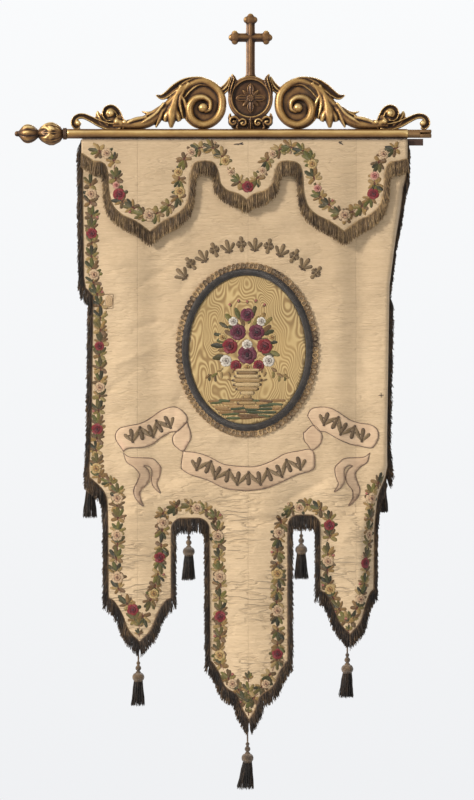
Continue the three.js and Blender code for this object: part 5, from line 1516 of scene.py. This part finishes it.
VOLUTE = {"out": 142, "z": -28.6, "eye": 13.5, "eye_depth": 31, "web": 63, "web_depth": 11}
VOLUTE_ROWS = [
    (-44, 86, 10, 17), (0, 81, 12, 20), (45, 69, 13, 22), (90, 56, 13.5, 23), (135, 51, 12.5, 23), (180, 50, 12.5, 24),
    (225, 46, 13, 25), (270, 41, 13.5, 26), (315, 36, 12, 27), (360, 31, 10, 28), (405, 27, 8.5, 27), (460, 20, 7, 24),
    (520, 13, 6, 22),
]
CREST_STROKES = [
    ("fluted", [(104, 30, 8, 15), (128, 46, 11, 17), (158, 50, 14, 19), (188, 36, 19, 20), (212, 12, 21, 20),
                (238, -18, 19, 20), (272, -46, 18, 21), (318, -68, 17, 22), (362, -76, 14, 22), (392, -76, 10, 20)]),
    ("hollow", [(112, 38, 7, 17), (140, 55, 8.5, 19), (170, 56, 10, 19), (200, 48, 12, 20), (228, 31, 12, 21),
                (248, 14, 10.5, 19), (266, 5, 8, 16), (284, 11, 1.6, 10)]),
    ("tube", [(186, 40, 11, 20), (208, 24, 12, 24), (226, 3, 12, 24), (246, -16, 12, 23), (274, -33, 10, 20),
              (300, -44, 7, 16), (326, -38, 1.6, 9)]),
    ("tube", [(244, -10, 9, 19), (264, -38, 13, 24), (288, -60, 15, 27), (318, -74, 16, 28), (354, -79, 14, 27),
              (390, -78, 13, 26), (412, -81, 7, 18)]),
    ("tube", [(206, 38, 9, 22), (221, 8, 11, 25), (229, -18, 14, 28), (234, -38, 19, 31), (236, -54, 18, 32),
              (237, -70, 11, 28), (238, -87, 5, 16)]),
    ("tube", [(230, -24, 7, 25), (243, -42, 12, 27), (253, -56, 11, 26), (257, -69, 6, 20)]),
    ("tube", [(232, -24, 7, 25), (225, -42, 12, 27), (218, -56, 11, 26), (213, -68, 6, 20)]),
    ("tube", [(184, 46, 7, 21), (202, 22, 8, 23), (212, -10, 8, 23), (208, -38, 6, 20), (202, -60, 3, 14)]),
    ("tube", [(258, -14, 6, 27), (284, -48, 8, 30), (314, -68, 8, 31), (344, -86, 3, 22)]),
    ("tube", [(262, -34, 6, 25), (272, -60, 7, 26), (284, -86, 3, 17)]),
    ("tube", [(310, -58, 7, 27), (342, -64, 9, 32), (370, -76, 7, 29), (384, -94, 3, 18)]),
    ("tube", [(384, -76, 12, 29), (397, -70, 10, 29), (402, -58, 6, 22)]),
    ("hollow", [(390, -82, 12, 23), (418, -85, 12, 23), (449, -76, 11, 22), (475, -63, 9.5, 20), (498, -53, 8.5, 19),
                (515, -53, 8, 19), (527, -62, 8, 20), (530, -76, 8.5, 21), (521, -86, 8, 22), (512, -82, 7, 22)]),
    ("hollow", [(386, -70, 10, 21), (393, -50, 9, 20), (402, -34, 8.5, 20), (417, -26, 8.5, 21), (432, -32, 8.5, 22),
                (437, -47, 8.5, 23), (429, -60, 8.5, 23), (416, -60, 8, 25)]),
    ("fluted", [(426, -82, 10, 18), (446, -66, 11, 18), (456, -50, 9, 15), (458, -36, 2.2, 9)]),
    ("tube", [(146, 40, 10, 11), (168, 36, 11, 11), (188, 22, 11, 11), (196, 4, 10, 11)]),
    ("fluted", [(97, 15, 8, 19), (90, 22, 10, 19), (79, 28, 12, 20), (67, 43, 10, 19), (60, 67, 2.4, 10)]),
    ("tube", [(206, 6, 5, 23), (196, -14, 7, 21), (190, -40, 6, 18), (192, -66, 3, 12)]),
]
# Small bosses in the scrolls: x, z, radius and depth.
SCROLL_EYES = [(516, -74, 9, 26), (407, -50, 9, 15), (418, -45, 11, 28), (400, -70, 10, 31), (376, -72, 9, 31),
               (414, -64, 13, 17), (394, -60, 13, 18)]


def wing_body(direction):
    body = {"points": [], "faces": []}
    spiral = []
    for turn, radius, half, depth in VOLUTE_ROWS:
        angle = radians(turn)
        spiral.append((VOLUTE["out"] - radius * sin(angle), VOLUTE["z"] + radius * cos(angle), half, depth))
    carved_stroke(body, spiral, "tube", direction)
    carved_boss(body, direction * VOLUTE["out"], VOLUTE["z"], VOLUTE["eye"], VOLUTE["eye_depth"], 0.45)
    carved_boss(body, direction * VOLUTE["out"], VOLUTE["z"], VOLUTE["web"], VOLUTE["web_depth"], 0.1, sides=48)
    for x, z, radius, depth in SCROLL_EYES:
        carved_boss(body, direction * x, z, radius, depth, 0.5, sides=16)
    for section, rows in CREST_STROKES:
        carved_stroke(body, rows, section, direction)
    return body


gilt = gilt_finish("worn_gilding", 0.16, 1.0)
for name, direction in (("left", -1), ("right", 1)):
    wing = carve("carved_wing_" + name, wing_body(direction), gilt, 1.86, clear_of_medallion)
    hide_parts("crest_wing_" + name)
    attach(wing, "root")


# Medallion. A round gilt shield in a moulded ring, on a foot of little curled leaves that sits on the rod, with a
# rosette in relief where it carries its device.
def lathe_front(body, profile, sides=96):
    """Adds a form turned about the Y axis from (radius, depth) places, closed at both ends."""
    add_tube(body, [[(radius * x, -depth, radius * z) for x, z in circle(sides)] for radius, depth in profile])


def curl(x, z, radius, half, depth, way):
    """Rows of a little curled leaf that winds into its own eye."""
    rows = []
    for turn, share in ((-70, 1.25), (-20, 1.08), (40, 1.0), (100, 0.86), (160, 0.7), (230, 0.52), (300, 0.34)):
        angle = radians(turn)
        rows.append((x + way * radius * share * sin(angle), z + radius * share * cos(angle),
                     half * (0.7 + 0.3 * share), depth))
    return rows


shield = {"points": [], "faces": []}
SHIELD_PROFILE = [
    (67.5, 0), (67.2, 16), (65.5, 19.5), (62.5, 20.5), (60.8, 18.5), (59.5, 21), (57, 22), (54.8, 20.5), (54, 16),
    (52.5, 14.2), (40, 14.8), (1, 15),
]
lathe_front(shield, SHIELD_PROFILE)
carved_stroke(shield, [(-44, -88, 10, 12), (0, -88, 11, 14), (44, -88, 10, 12)], "tube")
carved_stroke(shield, [(-56, -74, 14, 12), (-30, -76, 21, 14), (0, -76, 22, 15), (30, -76, 21, 14), (56, -74, 14, 12)])
for way in (-1, 1):
    carved_stroke(shield, curl(way * 50, -70, 13, 6.4, 25, way), "tube")
    carved_boss(shield, way * 50, -70, 5.5, 26, 0.6, sides=16)
    carved_stroke(shield, curl(way * 23, -74, 10, 5.4, 27, -way), "tube")
    carved_boss(shield, way * 23, -74, 4.5, 28, 0.6, sides=16)
    carved_stroke(shield, [(way * 60, -44, 3, 16), (way * 63, -58, 5, 20), (way * 56, -72, 5, 22)], "tube")
    frond = [(way * 20, -60, 3, 22), (way * 34, -66, 5, 25), (way * 40, -86, 4, 22), (way * 36, -95, 2, 18)]
    carved_stroke(shield, frond, "fluted")
carved_stroke(shield, [(0, -98, 10, 18), (0, -84, 9, 24), (0, -70, 6, 26), (0, -58, 2, 23)], "fluted")
for way in (-1, 1):
    carved_stroke(shield, [(way * 61, 6, 5, 24), (way * 59, 24, 9, 27), (way * 54, 43, 10, 28), (way * 50, 58, 8, 26),
                           (way * 56, 73, 2.4, 19)], "fluted")
browned_gilt = gilt_finish("browned_gilding", 0.34, 1.36)
medallion = carve("carved_medallion", shield, browned_gilt, 1.58, clear_of_rod)
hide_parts("crest_medallion")
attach(medallion, "root")

ROSETTE_BACK = -MEDALLION["face_depth"] - 0.4
flower = {"points": [], "faces": []}
for k in range(8):
    angle = pi * k / 4
    reach, half = (44, 10.5) if k % 2 == 0 else (33, 5)
    petal = [(4, 4, 4), (reach * 0.3, half * 0.7, 6.5), (reach * 0.62, half, 7), (reach * 0.88, half * 0.62, 6),
             (reach, 1.2, 4)]
    turned = [(out * cos(angle), out * sin(angle), wide, depth) for out, wide, depth in petal]
    carved_stroke(flower, turned, "fluted", behind=ROSETTE_BACK)
carved_boss(flower, 0, 0, 12, 9, 0.6, ROSETTE_BACK)
for k in range(8):
    angle = pi * (k + 0.5) / 4
    carved_boss(flower, 8 * cos(angle), 8 * sin(angle), 2.6, 9.4, 0.4, ROSETTE_BACK, 12)
rosette = carve("carved_rosette", flower, browned_gilt, 1.1)
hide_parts("crest_rosette")
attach(rosette, "root")


# Cross. Gilt wood with bevelled bars and a bud of three lobes at each free end, let into the medallion's rim.
CROSS_BACK = -3
bars = {"points": [], "faces": []}
carved_stroke(bars, [(0, 58, 23, 15), (0, 64, 19, 16), (0, 72, 14, 16), (0, 90, 13.2, 16), (0, 183, 13.2, 16),
                     (0, 222, 13, 16), (0, 236, 12, 15)], "peaked", behind=CROSS_BACK)
carved_stroke(bars, [(-54, 183, 12, 15), (-46, 183, 12.6, 16), (0, 183, 12.6, 16), (46, 183, 12.6, 16),
                     (54, 183, 12, 15)], "peaked", behind=CROSS_BACK)
for x, z, head_x, head_z in ((0, 241, 0, 1), (-52, 183, -1, 0), (52, 183, 1, 0)):
    for ahead, aside in ((4, 0), (-5, 11), (-5, -11)):
        lobe_x, lobe_z = x + head_x * ahead + head_z * aside, z + head_z * ahead + head_x * aside
        carved_boss(bars, lobe_x, lobe_z, 10, 15.5, 0.5, CROSS_BACK, 20)
    carved_boss(bars, x - head_x * 6, z - head_z * 6, 14, 17, 0.35, CROSS_BACK, 20)


def on_the_rim(points):
    """Lifts what lies inside the medallion's rim straight up to the rim."""
    room = MEDALLION["radius"] + GAP
    inside = np.linalg.norm(points[:, [0, 2]], axis=1) < room
    points[inside, 2] = np.sqrt(np.maximum(room**2 - points[inside, 0] ** 2, 0))
    return points


cross = carve("bevelled_cross", bars, browned_gilt, 1.55, on_the_rim)
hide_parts("crest_cross")
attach(cross, "root")


# Rod and finial. A turned gilt pole; on its left end sit a ringed collar, a bulb wrapped in leaves and a ribbed bud.
# The right end is a bare forked tenon that has lost its finial.
def turned_along(name, profile, shape, finish, sides=72, rounds=26):
    """A form turned about the rod's line from (x, radius) places; shape gives the carving at each place."""
    round_turn = np.linspace(0, 2 * np.pi, sides, endpoint=False)
    points = []
    for x, radius in profile:
        reach = radius * shape(x, round_turn)
        for angle, out in zip(round_turn, reach):
            points.append((x, ROD["y"] + out * sin(angle), ROD["z"] + out * cos(angle)))
    faces = tube_faces(len(profile), sides, over=profile[-1][0] > profile[0][0])
    made = smooth_object(name, np.array(points) / 1000, faces, finish)
    mark_wear(made, rounds)
    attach(made, "root")
    return made


# The rod's gilding carries strong painted light: a painted highlight band along its upper side and painted shade on its
# very top.
rod_gilt = gilt_finish("rubbed_rod_gilding", 0.02, 1.04, (0.35, 1, 1), 0.62, 1.05, 0.0)
plain_round = lambda x, turn: np.ones_like(turn)
rod_profile = [(x, ROD["radius"] * (1 - 0.012 * sin(x * 0.031) ** 2))
               for x in np.linspace(ROD["left"], ROD["right"] - 1, 170)]
rod_profile += [(ROD["right"], ROD["radius"] - 0.8), (ROD["right"] + 0.1, 12.5), (ROD["right"] + 2, 12.4)]
rod = turned_along("gilt_rod", rod_profile, plain_round, rod_gilt, 48)
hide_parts("rod")


def bare_wood(name, dark, middle, light):
    """Old wood with no gilding; the grain runs along X."""
    finish, shader = new_finish(name, 0.66, specular=0.3)
    place = wire(finish, "ShaderNodeTexCoord", {}, output=3)
    grain = spots(place, 1.0, detail=6, stretch=(6, 190, 190), roughness=0.65)
    pores = spots(place, 1.0, detail=3, stretch=(40, 900, 900))
    stain = shades(grain, [(0.3, dark), (0.5, middle), (0.75, light)])
    paint(shader, blended(0.3, stain, shades(pores, [(0.35, dark), (0.6, light)])))
    raised(shader, grain, 0.0006, 0.6)
    return finish


worn_wood = bare_wood("worn_bare_wood", dye(60, 42, 26), dye(112, 82, 50), dye(150, 116, 74))
tenon_profile = [(ROD["right"] + 0.5, 12.3)]
tenon_profile += [(x, 12.4 + 0.2 * sin(x)) for x in np.linspace(ROD["right"] + 3, 507, 12)]
tenon = turned_along("tenon_root", tenon_profile, plain_round, worn_wood, 40)
FORK = {"radius": 12.5, "slot": 3.5, "worn": 0.93, "start": 506, "end": 541}
prongs = {"points": [], "faces": []}
slot_turn = asin(FORK["slot"] / FORK["radius"])
for way in (-1, 1):
    rings = []
    for x in (FORK["start"], 520, 534, 540, FORK["end"]):
        reach = FORK["radius"] * (FORK["worn"] if x == FORK["end"] else 1)
        rings.append([(x, ROD["y"] + reach * cos(turn), ROD["z"] + way * max(reach * sin(turn), FORK["slot"]))
                      for turn in np.linspace(slot_turn, pi - slot_turn, 15)])
    add_tube(prongs, rings, way)
web = [(-11, -4.2), (-11, 4.2), (-7, 4.2), (-7, -4.2)]
add_tube(prongs, [[(x, y, ROD["z"] + up) for y, up in web] for x in (FORK["start"], FORK["end"])], -1)
fork = smooth_object("forked_tenon", prongs["points"], prongs["faces"], worn_wood)
mark_wear(fork, 4)
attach(fork, "root")

finial_gilt = gilt_finish("finial_gilding", 0.36, 1.52, bare_back=0.0)
collar_profile = [
    (-562, 13), (-561.5, 15.6), (-560, 17.2), (-558, 17.9), (-556.4, 17.2), (-555.6, 16.4), (-554.8, 17.2),
    (-553, 17.9), (-551, 17.2), (-549.8, 15.6), (-549.4, 13),
]
collar_wood = bare_wood("dark_collar_wood", dye(38, 26, 17), dye(70, 49, 32), dye(108, 80, 52))
collar = turned_along("finial_collar_rings", collar_profile, plain_round, collar_wood, 48)
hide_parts("finial_collar")


def wrapped_leaves(x, turn):
    """Four lobed leaves that lap the bulb, their tips curled outwards, and the tips of four more between them."""
    share = np.clip((-562 - x) / 72, 0, 1)
    over = 0.0
    for offset, wide, tall, curl_at in ((0.0, 0.6, 0.1, 0.92), (pi / 4, 0.82, 0.19, 0.74)):
        away = np.abs((turn + offset + pi / 4) % (pi / 2) - pi / 4)
        lobes = 1 + 0.17 * np.sin(share * 16 - 0.4)
        width = wide * np.sqrt(np.clip(1 - (share / (curl_at + 0.16)) ** 2.6, 0.0001, 1)) * lobes
        inside = np.clip(1 - (away / width) ** 7, 0, 1)
        curl = 0.1 * np.exp(-(((share - curl_at) / 0.13) ** 2)) * np.clip(1 - away / 0.5, 0, 1)
        veins = 0.02 * np.cos(22 * share + 9 * away) * np.clip(away / 0.15, 0, 1)
        midrib = 0.05 * np.exp(-((away / 0.07) ** 2)) - 0.06 * np.exp(-(((away - 0.2 * (1 - share)) / 0.07) ** 2))
        over = np.maximum(over, inside * (tall + curl + veins + midrib))
    return 0.86 + over


def ribbed_bud(x, turn):
    strength = np.clip((x + 700) / 14, 0, 1) * np.clip((-636 - x) / 10, 0, 1)
    return 1 + strength * (0.17 * np.abs(np.cos(4 * turn)) ** 0.6 - 0.11)


bulb_profile = fine_spline([
    (-562.4, 12), (-566, 17), (-572, 24), (-584, 31), (-598, 34), (-611, 31), (-622, 24.5), (-629, 18.5), (-634, 13),
], 6)
bulb = turned_along("leafy_bulb", [tuple(row) for row in bulb_profile], wrapped_leaves, finial_gilt, 120, 40)
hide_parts("finial_bulb")
bud_profile = fine_spline([
    (-634.4, 12), (-638, 14), (-646, 20), (-656, 25), (-667, 27), (-677, 24.5), (-685, 18), (-691, 11), (-695, 8),
    (-698, 8.2), (-702, 7.4), (-705, 4.6), (-706, 1),
], 6)
bud_piece = turned_along("ribbed_bud", [tuple(row) for row in bud_profile], ribbed_bud, finial_gilt, 120, 40)
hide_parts("finial_bud")


# Batten. A plain lath of dark stained wood under the rod, which the cloth and the valance are nailed to.
stained = bare_wood("dark_stained_wood", dye(34, 22, 18), dye(60, 42, 34), dye(88, 64, 52))
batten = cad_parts["batten"]
if not batten.material_slots:
    batten.data.materials.append(stained)
for material_slot in batten.material_slots:
    material_slot.material = stained
